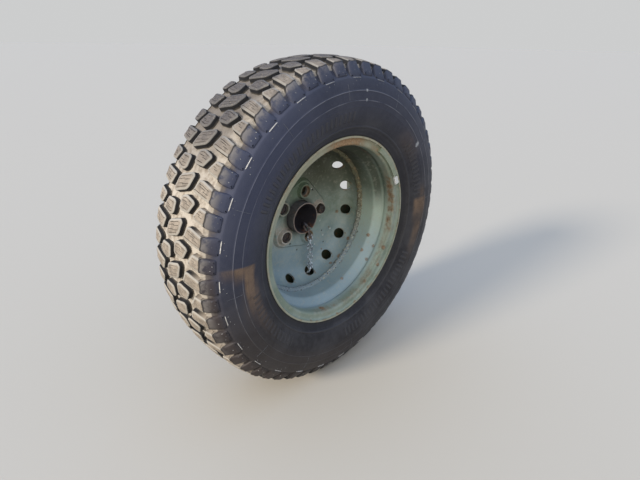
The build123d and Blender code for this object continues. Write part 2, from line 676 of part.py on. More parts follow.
# Tabs that hold the chain's ends: one inside the lock tube, one on the pan behind the vent
wire_to_hole = sqrt((TAB_HOLE_R - FIT_GAP) ** 2 - (CHAIN_WIRE / 2) ** 2) - CHAIN_WIRE / 2
end_to_hole = LINK_GAP / 2 + CHAIN_WIRE / 2 + wire_to_hole
first_hole = route[0] - (route[1] - route[0]).normalized() * end_to_hole
last_hole = route[-1] + into_vent * end_to_hole
TUBE_INNER_R = TUBE_R - TUBE_WALL
tube_foot = [(TUBE_INNER_R - FIT_GAP, depth) for depth in TUBE_TAB_DEPTHS]
pan_foot = [(vent_circle_r + out, PAN_FLOOR_DEPTH) for out in PAN_TAB_FROM_VENT]
TABS = (
    ("chain_tab_tube", NOTCH_DEG, first_hole, tube_foot),
    ("chain_tab_pan", vent_deg, last_hole, pan_foot),
)
for label, angle, hole, foot in TABS:
    hole_place = (hole.dot(outward(angle)), hole.Y)
    with BuildPart() as tab:
        with BuildSketch(section_plane(angle)):
            with Locations(hole_place):
                Circle(TAB_HOLE_R + TAB_EDGE)
            for foot_r, foot_depth in foot:
                with Locations((foot_r, at(foot_depth))):
                    Rectangle(TAB_CORNER, TAB_CORNER, align=(Align.MAX, Align.MAX))
            make_hull()
            with Locations(hole_place):
                Circle(TAB_HOLE_R, mode=Mode.SUBTRACT)
        extrude(amount=TAB_SHEET / 2, both=True)
    save(tab, label)
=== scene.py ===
import json
import math
from functools import partialmethod, reduce
from operator import or_

import bmesh
import bpy
from mathutils import Matrix, Vector
from mathutils.geometry import delaunay_2d_cdt
from mathutils.noise import noise as ripple


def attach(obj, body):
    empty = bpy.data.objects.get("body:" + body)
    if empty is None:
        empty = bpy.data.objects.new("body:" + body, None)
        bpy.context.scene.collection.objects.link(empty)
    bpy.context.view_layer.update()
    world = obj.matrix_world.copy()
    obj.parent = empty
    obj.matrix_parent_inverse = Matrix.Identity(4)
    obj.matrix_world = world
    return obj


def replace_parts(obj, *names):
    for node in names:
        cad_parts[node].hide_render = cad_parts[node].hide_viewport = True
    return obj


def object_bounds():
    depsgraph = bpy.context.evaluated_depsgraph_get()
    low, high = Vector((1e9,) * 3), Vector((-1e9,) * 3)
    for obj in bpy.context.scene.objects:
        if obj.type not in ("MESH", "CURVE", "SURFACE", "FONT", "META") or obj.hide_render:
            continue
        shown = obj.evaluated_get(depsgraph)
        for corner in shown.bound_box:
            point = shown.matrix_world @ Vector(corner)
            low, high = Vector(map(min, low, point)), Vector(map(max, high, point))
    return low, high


# Looks for the spare wheel on its door carrier.
# Lengths are in millimetres and become metres where a mesh is made.
# The wheel's axis is the Y axis; depths are counted along it from the rim's near lip.
# Angles are in degrees round that axis, from +X towards +Z.

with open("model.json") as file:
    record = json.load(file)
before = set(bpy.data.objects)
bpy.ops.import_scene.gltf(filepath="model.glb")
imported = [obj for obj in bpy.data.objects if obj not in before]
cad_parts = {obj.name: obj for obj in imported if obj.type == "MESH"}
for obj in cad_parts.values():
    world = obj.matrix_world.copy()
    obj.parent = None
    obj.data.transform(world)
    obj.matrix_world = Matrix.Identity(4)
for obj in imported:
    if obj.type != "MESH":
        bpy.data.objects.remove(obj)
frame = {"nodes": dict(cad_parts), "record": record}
cad_low, cad_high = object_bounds()

MM = 0.001
LIP_TO_DOOR = 212.0

# Camera: the photograph's lens and view
SENSOR = 36.0
PICTURE_WIDTH = 640
FOCAL_PIXELS = 425.0
CAMERA_PLACE = (-0.6631, -0.8013, 0.4008)
CAMERA_YAW = 44.94
CAMERA_DOWN = 25.21
CAMERA_ROLL = 0.88


def on_wheel(radius, angle, depth):
    """Point in metres at a radius, an angle and a depth."""
    turn = math.radians(angle)
    return Vector((radius * math.cos(turn), depth - LIP_TO_DOOR, radius * math.sin(turn))) * MM


# Materials
def feed(tree, socket, value):
    """Give a socket a field, a link or a plain value."""
    if isinstance(value, Field):
        value = value.socket
    if isinstance(value, bpy.types.NodeSocket):
        tree.links.new(value, socket)
    elif socket.type == "RGBA":
        socket.default_value = (*value, 1)
    else:
        socket.default_value = value


def add_node(tree, kind, inputs=(), **settings):
    """Add a node with these properties, and feed its inputs, given by name or number."""
    node = tree.nodes.new("ShaderNode" + kind)
    for title, value in settings.items():
        setattr(node, title, value)
    for title, value in dict(inputs).items():
        feed(tree, node.inputs[title], value)
    return node


class Field:
    """Number or colour that nodes compute. A mask runs from 0 to 1; * joins masks and | takes the larger."""

    def __init__(self, tree, socket):
        self.tree, self.socket = tree, socket

    def made(self, kind, inputs, output=0, **settings):
        return Field(self.tree, add_node(self.tree, kind, inputs, **settings).outputs[output])

    def math(self, operation, other=0.0):
        return self.made("Math", {0: self, 1: other}, operation=operation)

    __add__ = partialmethod(math, "ADD")
    __sub__ = partialmethod(math, "SUBTRACT")
    __mul__ = partialmethod(math, "MULTIPLY")
    __truediv__ = partialmethod(math, "DIVIDE")
    __or__ = partialmethod(math, "MAXIMUM")

    def __rsub__(self, other):
        return self.made("Math", {0: other, 1: self}, operation="SUBTRACT")

    def step(self, start, end):
        """0 before start, 1 past end, smooth between; start may be the larger."""
        low, high = sorted((start, end))
        ends = {"To Min": float(start > end), "To Max": float(start <= end)}
        inputs = {"Value": self, "From Min": low, "From Max": high, **ends}
        return self.made("MapRange", inputs, interpolation_type="SMOOTHSTEP")

    def band(self, low, high, soft):
        """1 between low and high, with soft edges."""
        return self.step(low - soft, low + soft) * self.step(high + soft, high - soft)

    def mix(self, a, b):
        """Colour a where this mask is 0, colour b where it is 1."""
        return self.made("Mix", {0: self, 6: a, 7: b}, 2, data_type="RGBA")

    def blend(self, a, b):
        """Number a where this mask is 0, number b where it is 1."""
        return self.made("Mix", {0: self, 2: a, 3: b}, data_type="FLOAT")


def layered(base, *coats):
    """A colour with coats laid over it in turn, each a mask and a colour."""
    for mask, coat in coats:
        base = mask.mix(base, coat)
    return base


def largest(masks):
    return reduce(or_, masks)


class Look:
    """One material and the fields that its colour is made from, with lengths in millimetres."""

    def __init__(self, name):
        self.material = bpy.data.materials.new(name)
        self.material.use_nodes = True
        self.tree = self.material.node_tree
        self.tree.nodes.clear()
        self.shader = add_node(self.tree, "BsdfPrincipled")
        add_node(self.tree, "OutputMaterial", {"Surface": self.shader.outputs["BSDF"]})
        self.place = self.vector("MULTIPLY", self.field("TexCoord", output="Object"), (1 / MM,) * 3)
        self.x, y, self.z = self.split(self.place)
        self.radius = (self.x * self.x + self.z * self.z).math("SQRT")
        self.depth = y + LIP_TO_DOOR
        self.up = self.split(self.field("NewGeometry", output="Normal"))[2]

    def field(self, kind, inputs=(), output=0, **settings):
        return Field(self.tree, add_node(self.tree, kind, inputs, **settings).outputs[output])

    def split(self, vector):
        node = add_node(self.tree, "SeparateXYZ", {0: vector})
        return [Field(self.tree, socket) for socket in node.outputs]

    def vector(self, operation, a, b, output=0):
        return self.field("VectorMath", {0: a, 1: b}, output, operation=operation)

    def noise(self, size, detail, roughness=0.55):
        """Noise from 0 to 1 whose lumps are about this size."""
        inputs = {"Vector": self.place, "Scale": 1 / size, "Detail": detail, "Roughness": roughness}
        return self.field("TexNoise", inputs, "Fac")

    def sector(self, angle, half, soft):
        """1 within half degrees of an angle round the axis."""
        turn = math.radians(angle)
        cosine = (self.x * math.cos(turn) + self.z * math.sin(turn)) / self.radius
        away = cosine.math("MAXIMUM", -1.0).math("MINIMUM", 1.0).math("ARCCOSINE")
        return away.step(math.radians(half + soft), math.radians(max(half - soft, 0.0)))

    def fading(self, start, length, sharp):
        """1 from a start angle on, fading out over a length in degrees; a negative length runs back."""
        side = math.copysign(40.0, length)
        fade = self.sector(start, abs(length) * 0.6, abs(length) * 0.55)
        return self.sector(start + side, 40.0, sharp) * fade

    def spot(self, radius, angle, depth, size, wobble):
        """1 inside a ragged spot round a point; wobble is a noise that pushes its edge."""
        away = self.vector("DISTANCE", self.place, on_wheel(radius, angle, depth) / MM, "Value")
        return (away + (wobble - 0.5) * (size * 1.6)).step(size * 1.15, size * 0.6)

    def aside(self, radius, angle):
        """Distance from a line beside the axis, through a radius and an angle."""
        flat = self.vector("MULTIPLY", self.place, (1, 0, 1))
        return self.vector("DISTANCE", flat, on_wheel(radius, angle, LIP_TO_DOOR) / MM, "Value")

    def finish(self, color, roughness, height, relief, metallic=0.0, specular=0.5):
        """The material, with bumps from a height times a relief in millimetres."""
        bump = add_node(self.tree, "Bump", {"Strength": 1.0, "Distance": relief * MM, "Height": height})
        inputs = {"Base Color": color, "Roughness": roughness, "Metallic": metallic}
        inputs |= {"Specular IOR Level": specular, "Normal": bump.outputs[0]}
        for title, value in inputs.items():
            feed(self.tree, self.shader.inputs[title], value)
        return self.material


# Meshes
def add_object(name, data):
    """A new object in the scene."""
    made = bpy.data.objects.new(name, data)
    bpy.context.scene.collection.objects.link(made)
    return made


def make_piece(name, points, faces, material, sharp=None, below=None):
    """Mesh object from points in metres, riding on the wheel; below is kept for the tyre's look."""
    mesh = bpy.data.meshes.new(name)
    mesh.from_pydata([tuple(p) for p in points], [], faces)
    if below:
        mesh.attributes.new("below", "FLOAT", "POINT").data.foreach_set("value", below)
    mesh.materials.append(material)
    work = bmesh.new()
    work.from_mesh(mesh)
    bmesh.ops.recalc_face_normals(work, faces=work.faces)
    work.to_mesh(mesh)
    work.free()
    mesh.shade_smooth()
    if sharp is not None:
        mesh.set_sharp_from_angle(angle=math.radians(sharp))
    piece = add_object(name, mesh)
    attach(piece, "root")
    return piece


def ring_faces(rings, count, start=0, around=True):
    """Faces between closed rings of count points each; around joins the last ring to the first."""
    faces = []
    for ring in range(rings if around else rings - 1):
        here, there = start + ring * count, start + (ring + 1) % rings * count
        for place in range(count):
            after = (place + 1) % count
            faces.append((here + place, here + after, there + after, there + place))
    return faces


def grid_faces(start, lines, spans):
    """Faces of a grid of points that begins at start, with lines + 1 rows of spans + 1 points."""
    corners = [start + line * (spans + 1) + span for line in range(lines) for span in range(spans)]
    return [(corner, corner + 1, corner + spans + 2, corner + spans + 1) for corner in corners]


# Tyre shape
TYRE_OUTER_R = 375.0
TREAD_WIDTH = 156.0
TYRE_WIDTH = 208.0
FAR_LIP = 161.7
TYRE_MIDDLE = FAR_LIP / 2
SHOULDER_DEPTH = TYRE_MIDDLE - TREAD_WIDTH / 2
SHOULDER_R = 367.0
CROWN_POWER = 2.2
SIDE_TOP = (347.0, -10.15)
WIDEST = (288.0, TYRE_MIDDLE - TYRE_WIDTH / 2)
BEAD_TOP = (226.0, 0.0)
PITCHES = 28
LUG_END = -32.0
CORNER_SOFTNESS = 2.5


def circle_through(a, b, c):
    """Centre and radius of the circle through three points."""
    a, b, c = complex(*a), complex(*b), complex(*c)
    bend = (c - a) / (b - a)
    centre = a + (b - a) * (bend - abs(bend) ** 2) / (2j * bend.imag)
    return (centre.real, centre.imag), abs(centre - a)


SIDE_CENTRE, SIDE_RADIUS = circle_through(BEAD_TOP, WIDEST, SIDE_TOP)


def side_depth(radius):
    """Depth of the plain near sidewall at a radius."""
    return SIDE_CENTRE[1] - math.sqrt(SIDE_RADIUS**2 - (radius - SIDE_CENTRE[0]) ** 2)


FLANK = Vector((SIDE_TOP[0] - SHOULDER_R, SIDE_TOP[1] - SHOULDER_DEPTH))
FLANK_LENGTH = FLANK.length
SIDE_TOP_TURN = math.atan2(SIDE_TOP[1] - SIDE_CENTRE[1], SIDE_TOP[0] - SIDE_CENTRE[0])


def outer_place(t):
    """Radius and depth of the tyre's outside; t is the depth on the tread, and past the shoulder's edge
    it is counted down the near sidewall, below the edge by that length."""
    if t > TYRE_MIDDLE:
        radius, depth = outer_place(FAR_LIP - t)
        return radius, FAR_LIP - depth
    if t >= SHOULDER_DEPTH:
        share = abs(t - TYRE_MIDDLE) / (TREAD_WIDTH / 2)
        return TYRE_OUTER_R - (TYRE_OUTER_R - SHOULDER_R) * share**CROWN_POWER, t
    down = SHOULDER_DEPTH - t
    if down <= FLANK_LENGTH:
        return SHOULDER_R + FLANK.x * down / FLANK_LENGTH, SHOULDER_DEPTH + FLANK.y * down / FLANK_LENGTH
    turn = SIDE_TOP_TURN - (down - FLANK_LENGTH) / SIDE_RADIUS
    return SIDE_CENTRE[0] + SIDE_RADIUS * math.cos(turn), SIDE_CENTRE[1] + SIDE_RADIUS * math.sin(turn)


def sunk_place(t, below):
    """Radius and depth at a place t and a distance below the outside, square to it but softer over the
    shoulder's edge."""
    radius, depth = outer_place(t)
    low, high = outer_place(t - CORNER_SOFTNESS), outer_place(t + CORNER_SOFTNESS)
    along = Vector((high[0] - low[0], high[1] - low[1])).normalized()
    return radius - below * along.y, depth + below * along.x


GROOVE_DEPTH = 11.0
# Depth of the groove floor at places across the near half
GROOVE_DEPTHS = (
    (-32, 0.2), (-21, 5), (-8, 7.5), (2.85, 9), (16, GROOVE_DEPTH), (TYRE_MIDDLE, GROOVE_DEPTH),
)


def groove_depth(t):
    """How far the groove floor lies under the block tops."""
    t = min(t, FAR_LIP - t)
    for (t0, d0), (t1, d1) in zip(GROOVE_DEPTHS, GROOVE_DEPTHS[1:]):
        if t <= t1:
            return d0 + (d1 - d0) * max(t - t0, 0.0) / (t1 - t0)
    return GROOVE_DEPTH


def tread_point(s, t, below, pitch):
    """Point at a length s round the tread, a place t across it and a distance below the block tops."""
    radius, depth = sunk_place(t, below)
    return on_wheel(radius, 180 + math.degrees(s / TYRE_OUTER_R) + pitch * 360 / PITCHES, depth)


# Blocks: outlines as (length round the tread, place across it) and their fine slots
LONG_LUG = (
    [(-191, -32), (-156, -32), (-156.5, -22), (-160, -8), (-165, 2.85), (-173, 44), (-176.5, 48),
     (-197, 39), (-197.5, 30), (-189.5, 2.85), (-188.5, -8), (-190.5, -22)],
    [[(-183.5, 9), (-189, 28), (-190.5, 37)], [(-171, 8), (-178.5, 43)],
     [(-176.5, 9), (-179.5, 22), (-182.5, 17), (-186, 33)]],
)
SHORT_LUG = (
    [(-147, -27), (-118, -27), (-118, -20), (-119, -8), (-123.5, 2.85), (-129.5, 27), (-134, 31.5),
     (-152.5, 19.5), (-150, 2.85), (-148, -8), (-147, -20)],
    [[(-144.5, 8), (-146.5, 19)], [(-128.5, 8), (-132, 24)],
     [(-136, 8), (-138, 17), (-140.5, 13), (-142, 22)]],
)
SECOND_BLOCK = (
    [(-154, 33.5), (-134.5, 45), (-135, 67), (-138.5, 73.5), (-157, 73.5), (-162.5, 69), (-165, 59),
     (-159, 37.5)],
    [[(-154.5, 41), (-159, 58), (-158, 67)], [(-140, 50), (-142, 68)],
     [(-147.5, 43), (-149.5, 56), (-152.5, 52), (-153.5, 67)]],
)
CENTRE_BLOCK = (
    [(-205.2, 62), (-200, 55.5), (-178, 61.5), (-172, 67), (-162, 99.7), (-167.2, 106.2), (-189.2, 100.2),
     (-195.2, 94.7)],
    [[(-198, 66), (-190, 93)], [(-177.4, 69), (-169.3, 95.7)],
     [(-191.5, 64), (-187, 80.5), (-189.5, 79), (-184, 97)],
     [(-183, 64.5), (-178, 82.5), (-180.3, 81), (-175.7, 97.5)]],
)
# Length round the tread at the middle of a centre block
HALF_TURN_AT = -183.6


def turned(block):
    """The same block on the far side of the tread, turned by half a turn."""
    outline, slots = block
    return (
        [(2 * HALF_TURN_AT - s, FAR_LIP - t) for s, t in outline],
        [[(2 * HALF_TURN_AT - s, FAR_LIP - t) for s, t in slot] for slot in slots],
    )


# Shape of a block: border and bevel of its top, walls, corners and fine slots
TOP_BORDER = 4.2
BORDER_DROP = 0.9
EDGE_WIDTH = 0.7
EDGE_DROP = 0.8
WALL_DRAFT = math.tan(math.radians(9))
WALL_SINK = 1.2
CORNER_R = 2.6
SLOT_WIDTH = 0.9
SLOT_DEPTH = 3.0
TOP_STEP = 7.0


def neighbours(outline):
    """Each point of a closed outline, between the ones before and after it."""
    return zip(outline[-1:] + outline[:-1], outline, outline[1:] + outline[:1])


def rounded(outline, size, arc=3):
    """The outline with each corner cut to a short arc."""
    result = []
    for before, here, after in neighbours(outline):
        before, after = before - here, after - here
        cut = min(size, 0.35 * before.length, 0.35 * after.length)
        start, end = here + before.normalized() * cut, here + after.normalized() * cut
        for piece in range(arc):
            share = piece / (arc - 1)
            result.append(start * (1 - share) ** 2 + here * 2 * share * (1 - share) + end * share**2)
    return result


def divided(outline, step):
    """The outline with points added so that no side is longer than step."""
    result = []
    for _, here, there in neighbours(outline):
        parts = max(1, math.ceil((there - here).length / step))
        result += [here.lerp(there, part / parts) for part in range(parts)]
    return result


def grown(outline, amount):
    """The outline moved outward by an amount, inward if it is negative."""
    area = sum(a.x * b.y - b.x * a.y for _, a, b in neighbours(outline))
    side = 1.0 if area > 0 else -1.0
    result = []
    for before, here, after in neighbours(outline):
        one, two = (here - before).normalized(), (after - here).normalized()
        normal = Vector((one.y + two.y, -one.x - two.x)) * side
        normal.normalize()
        facing = max(0.5, Vector((one.y, -one.x)).dot(normal) * side)
        result.append(here + normal * (amount / facing))
    return result


def slot_outline(line):
    """Closed outline of a fine slot along a line."""
    line = [Vector(p) for p in line]
    left, right = [], []
    for place, here in enumerate(line):
        before, after = line[max(place - 1, 0)], line[min(place + 1, len(line) - 1)]
        along = (after - before).normalized()
        side = Vector((-along.y, along.x)) * SLOT_WIDTH / 2
        left.append(here + side)
        right.append(here - side)
    return left + right[::-1]


def block_parts(block):
    """One block as points (s, t, distance below the top) and faces."""
    outline, slots = block
    rim = divided(rounded([Vector(p) for p in outline], CORNER_R), TOP_STEP)
    rings = [
        [(p.x, p.y, groove_depth(p.y) + WALL_SINK) for p in grown(rim, WALL_DRAFT * GROOVE_DEPTH)],
        [(p.x, p.y, EDGE_DROP + BORDER_DROP) for p in rim],
        [(p.x, p.y, BORDER_DROP) for p in grown(rim, -EDGE_WIDTH)],
        [(p.x, p.y, 0.0) for p in grown(rim, -EDGE_WIDTH - TOP_BORDER)],
    ]
    points = [p for ring in rings for p in ring]
    count = len(rim)
    faces = ring_faces(len(rings), count, around=False)
    inner = [Vector(p[:2]) for p in rings[-1]]
    slot_edges = [slot_outline(line) for line in slots]
    holes = [divided(edge, TOP_STEP) for edge in slot_edges]
    flat, loops = [], []
    for edge in (inner, *holes):
        loops.append(list(range(len(flat), len(flat) + len(edge))))
        flat += edge
    low, high = (Vector(pick(axis) for axis in zip(*inner)) for pick in (min, max))
    columns, rows = (int(span / TOP_STEP) + 1 for span in high - low)
    steps = [(column, row) for column in range(1, columns) for row in range(1, rows)]
    flat += [low + Vector(step) * TOP_STEP for step in steps]
    made, _, triangles, origins, _, _ = delaunay_2d_cdt(flat, [], loops, 1, 1e-5)
    base = len(points) - count
    index = {}
    for number, (place, source) in enumerate(zip(made, origins)):
        if source and source[0] < count:
            index[number] = base + source[0]
        else:
            index[number] = len(points)
            points.append((place.x, place.y, 0.0))
    for triangle in triangles:
        middle = sum((made[i] for i in triangle), Vector((0, 0))) / 3
        if not any(inside(middle, edge) for edge in slot_edges):
            faces.append(tuple(index[i] for i in triangle))
    for hole in holes:
        start, many = len(points), len(hole)
        points += [(p.x, p.y, down) for down in (0.0, SLOT_DEPTH) for p in hole]
        faces += ring_faces(2, many, start, around=False)
        faces.append(tuple(range(start + many, start + 2 * many)))
    return points, faces


def inside(point, outline):
    """True if a point lies inside an outline."""
    found = False
    for _, a, b in neighbours(outline):
        if (a.y > point.y) != (b.y > point.y):
            if point.x < (b.x - a.x) * (point.y - a.y) / (b.y - a.y) + a.x:
                found = not found
    return found


def make_blocks(name, block, material):
    """All blocks of one kind round the tread, as one piece."""
    parts, sides = block_parts(block)
    points, faces, below = [], [], []
    for pitch in range(PITCHES):
        start = len(points)
        for s, t, down in parts:
            points.append(tread_point(s, t, down, pitch))
            below.append(min(1.0, down / groove_depth(t)) if down > 0 else 0.0)
        faces += [tuple(start + place for place in face) for face in sides]
    return make_piece(name, points, faces, material, 38, below)


# Near sidewall: raised rings as (radius, half width, height)
SIDE_RINGS = ((240.5, 3, 1.6), (294, 0.9, 0.6), (313, 0.9, 0.6), (283, 1.2, 0.4))
SEAT_R = 203.3
BEAD_FACE = 11.3
BEAD_REACH = 19
FLANGE_CURL = (210.5, 1)
FLANGE_CURL_R = 10.3
CURL_STEPS = 6
# Steps of the profile: on a raised ring, beside it, near the shoulder, further across the tread
RING_STEP, SIDE_STEP, SHOULDER_STEP, TREAD_STEP = 0.6, 2.4, 3.0, 8.0
TREAD_STEP_FROM = 20
# Inside of the tyre, which the rim hides: radius and depth on the near half
HIDDEN_INSIDE = ((350, 20), (332, -3), (288, -13), (240, 14))
HIDDEN_CROWN_R = 353


def side_relief(radius):
    """Height of the raised rings on the sidewall at a radius."""
    return sum(height * max(0, 1 - (abs(radius - middle) / half) ** 2) for middle, half, height in SIDE_RINGS)


def half_profile():
    """Outside of the near half of the carcass, from the bead to the middle of the tread."""
    curl_r, curl_depth = FLANGE_CURL
    profile = [(SEAT_R, BEAD_FACE + BEAD_REACH), (SEAT_R, BEAD_FACE + 2)]
    profile += [(SEAT_R + 2, BEAD_FACE), (curl_r, BEAD_FACE)]
    for step in range(1, CURL_STEPS + 1):
        turn = math.radians(90 * (1 - step / CURL_STEPS))
        profile.append((curl_r + FLANGE_CURL_R * math.cos(turn), curl_depth + FLANGE_CURL_R * math.sin(turn)))
    radius, end = BEAD_TOP[0], outer_place(LUG_END)[0]
    while radius < end - 0.5:
        profile.append((radius, side_depth(radius) - side_relief(radius)))
        ringed = any(abs(radius + 0.2 - middle) <= half + 0.4 for middle, half, _ in SIDE_RINGS)
        radius += RING_STEP if ringed else SIDE_STEP
    t = LUG_END
    while t < TYRE_MIDDLE:
        profile.append(sunk_place(t, groove_depth(t)))
        t += SHOULDER_STEP if t < TREAD_STEP_FROM else TREAD_STEP
    return profile


def tyre_carcass(material):
    """The tyre without its blocks: sidewalls, groove floor and the hidden inside."""
    near = [*HIDDEN_INSIDE, *half_profile()]
    far = [(radius, FAR_LIP - depth) for radius, depth in reversed(near)]
    profile = [*near, *far, (HIDDEN_CROWN_R, TYRE_MIDDLE)]
    turns = PITCHES * 10
    points = [on_wheel(place[0], 360 * turn / turns, place[1]) for turn in range(turns) for place in profile]
    faces = ring_faces(turns, len(profile))
    return make_piece("tyre_carcass", points, faces, material, 35, [1.0] * len(points))


# Raised marks on the tyre: the sunk edge of a patch, the size of its faces, and heights
MARK_SINK = 0.5
MARK_STEP = 5.0
BAR_HEIGHT = 0.9
PIP_HEIGHT = 0.45
RIB_HEIGHT = 0.5
# Bar under each long lug: length round the tread and place across it, first and last
LUG_BAR = ((-188.5, -161), (-33.6, -31.6))
# Small pips on the lugs' flanks and below the bars: length round the tread, place across it
PIPS = (
    (-173, -17.5), (-145, -16), (-135.5, -20.5), (-126.5, -17), (-157.5, -44), (-169, -38.5),
    (-183.5, -37.5),
)
PIP_SIZE = (1.7, 2.8)
# Thin ribs across the sidewall: first angle, spacing, inner radius, outer radius, width
SIDE_TICKS = ((124.4, 30, 294, 330, 1), (139.5, 30, 309, 317, 1))


def lug_marks(name, patches, height, material):
    """Raised patches, once a pitch, each between two lengths round the tread and two places across it."""
    points, faces = [], []
    for pitch in range(PITCHES):
        for lengths, places in patches:
            spans = [last - first for first, last in (lengths, places)]
            columns, rows = (max(2, math.ceil(span / MARK_STEP)) + 1 for span in spans)
            faces += grid_faces(len(points), columns, rows)
            for column in range(columns + 1):
                s = lengths[0] + spans[0] * column / columns
                for row in range(rows + 1):
                    t = places[0] + spans[1] * row / rows
                    rim = column in (0, columns) or row in (0, rows)
                    points.append(tread_point(s, t, MARK_SINK if rim else -height, pitch))
    return make_piece(name, points, faces, material)


def side_ribs(material):
    """Thin ribs across the near sidewall."""
    points, faces = [], []
    for first, spacing, inner, outer, width in SIDE_TICKS:
        rows = math.ceil((outer - inner) / 4)
        for place in range(round(360 / spacing)):
            faces += grid_faces(len(points), rows, 2)
            for row in range(rows + 1):
                radius = inner + (outer - inner) * row / rows
                half = math.degrees(width / 2 / radius)
                crest = -MARK_SINK if row in (0, rows) else RIB_HEIGHT
                for turn, lift in ((-half, -MARK_SINK), (0.0, crest), (half, -MARK_SINK)):
                    points.append(on_wheel(radius, first + place * spacing + turn, side_depth(radius) - lift))
    return make_piece("side_ribs", points, faces, material)


# Tyre look
TAN_TOP = (0.385, 0.325, 0.262)
TAN_WORN = (0.22, 0.185, 0.15)
BORDER_HIGHLIGHT = (0.43, 0.405, 0.36)
GROOVE_DUST = (0.54, 0.485, 0.415)
GROOVE_DIRT = (0.3, 0.25, 0.2)
FLANK_DUST = (0.155, 0.135, 0.125)
TOP_SHADE = (0.05, 0.05, 0.06)
WALL_BLACK = (0.016, 0.016, 0.018)
WALL_DUSTY = (0.16, 0.14, 0.115)
SIDE_BLACK = (0.017, 0.016, 0.019)
SIDE_GREY = (0.035, 0.034, 0.039)
SIDE_FILM_AND_HIGHLIGHT = (0.07, 0.068, 0.073)
SIDE_SKY_REFLECTION = (0.066, 0.076, 0.128)
RING_HIGHLIGHT_GREY = (0.3, 0.3, 0.32)
MUD_LIGHT = (0.24, 0.165, 0.115)
MUD_DARK = (0.16, 0.112, 0.08)
SHEEN_BROWN = (0.058, 0.047, 0.043)
FLANK_BROWN = (0.052, 0.039, 0.036)
FLANK_PALE = (0.25, 0.228, 0.21)
GROOVE_SHADE = (0.125, 0.108, 0.097)
SCUFF_GREY = (0.45, 0.46, 0.47)
LINE_RINGS = (313.0, 294.0)
# Scuffs on the near sidewall: radius, angle, depth, size
SCUFFS = ((290, 37.6, -18, 9), (313, 84.6, -21, 3), (295, 84.6, -22, 3))
# Mud on the near sidewall: start angle, length in degrees, sharpness of the start,
# inner radius, outer radius, softness across, strength
MUD_PATCHES = (
    (173.9, 7, 0.5, 264, 312, 5, 1.2),
    (173.9, 5, 0.7, 300, 334, 9, 0.7),
    (174.3, 29, 1, 266, 289, 5, 1.7),
    (183, 34, 6, 256, 281, 7, 0.75),
    (184, 24, 6, 286, 300, 8, 0.3),
    (6, -17, 1.5, 257, 296, 6, 1.25),
    (-6, -26, 6, 266, 290, 7, 0.8),
    (12, -12, 4, 270, 291, 8, 0.5),
    (48, -20, 9, 252, 286, 12, 0.35),
)
# Generic serrated bands on both sidewalls: angle of the middle and half width in degrees
SERRATIONS = ((122, 32), (-58, 32), (26, 18), (-152, 20))
SERRATION_R = (254, 275)
SERRATION_COUNT = 128


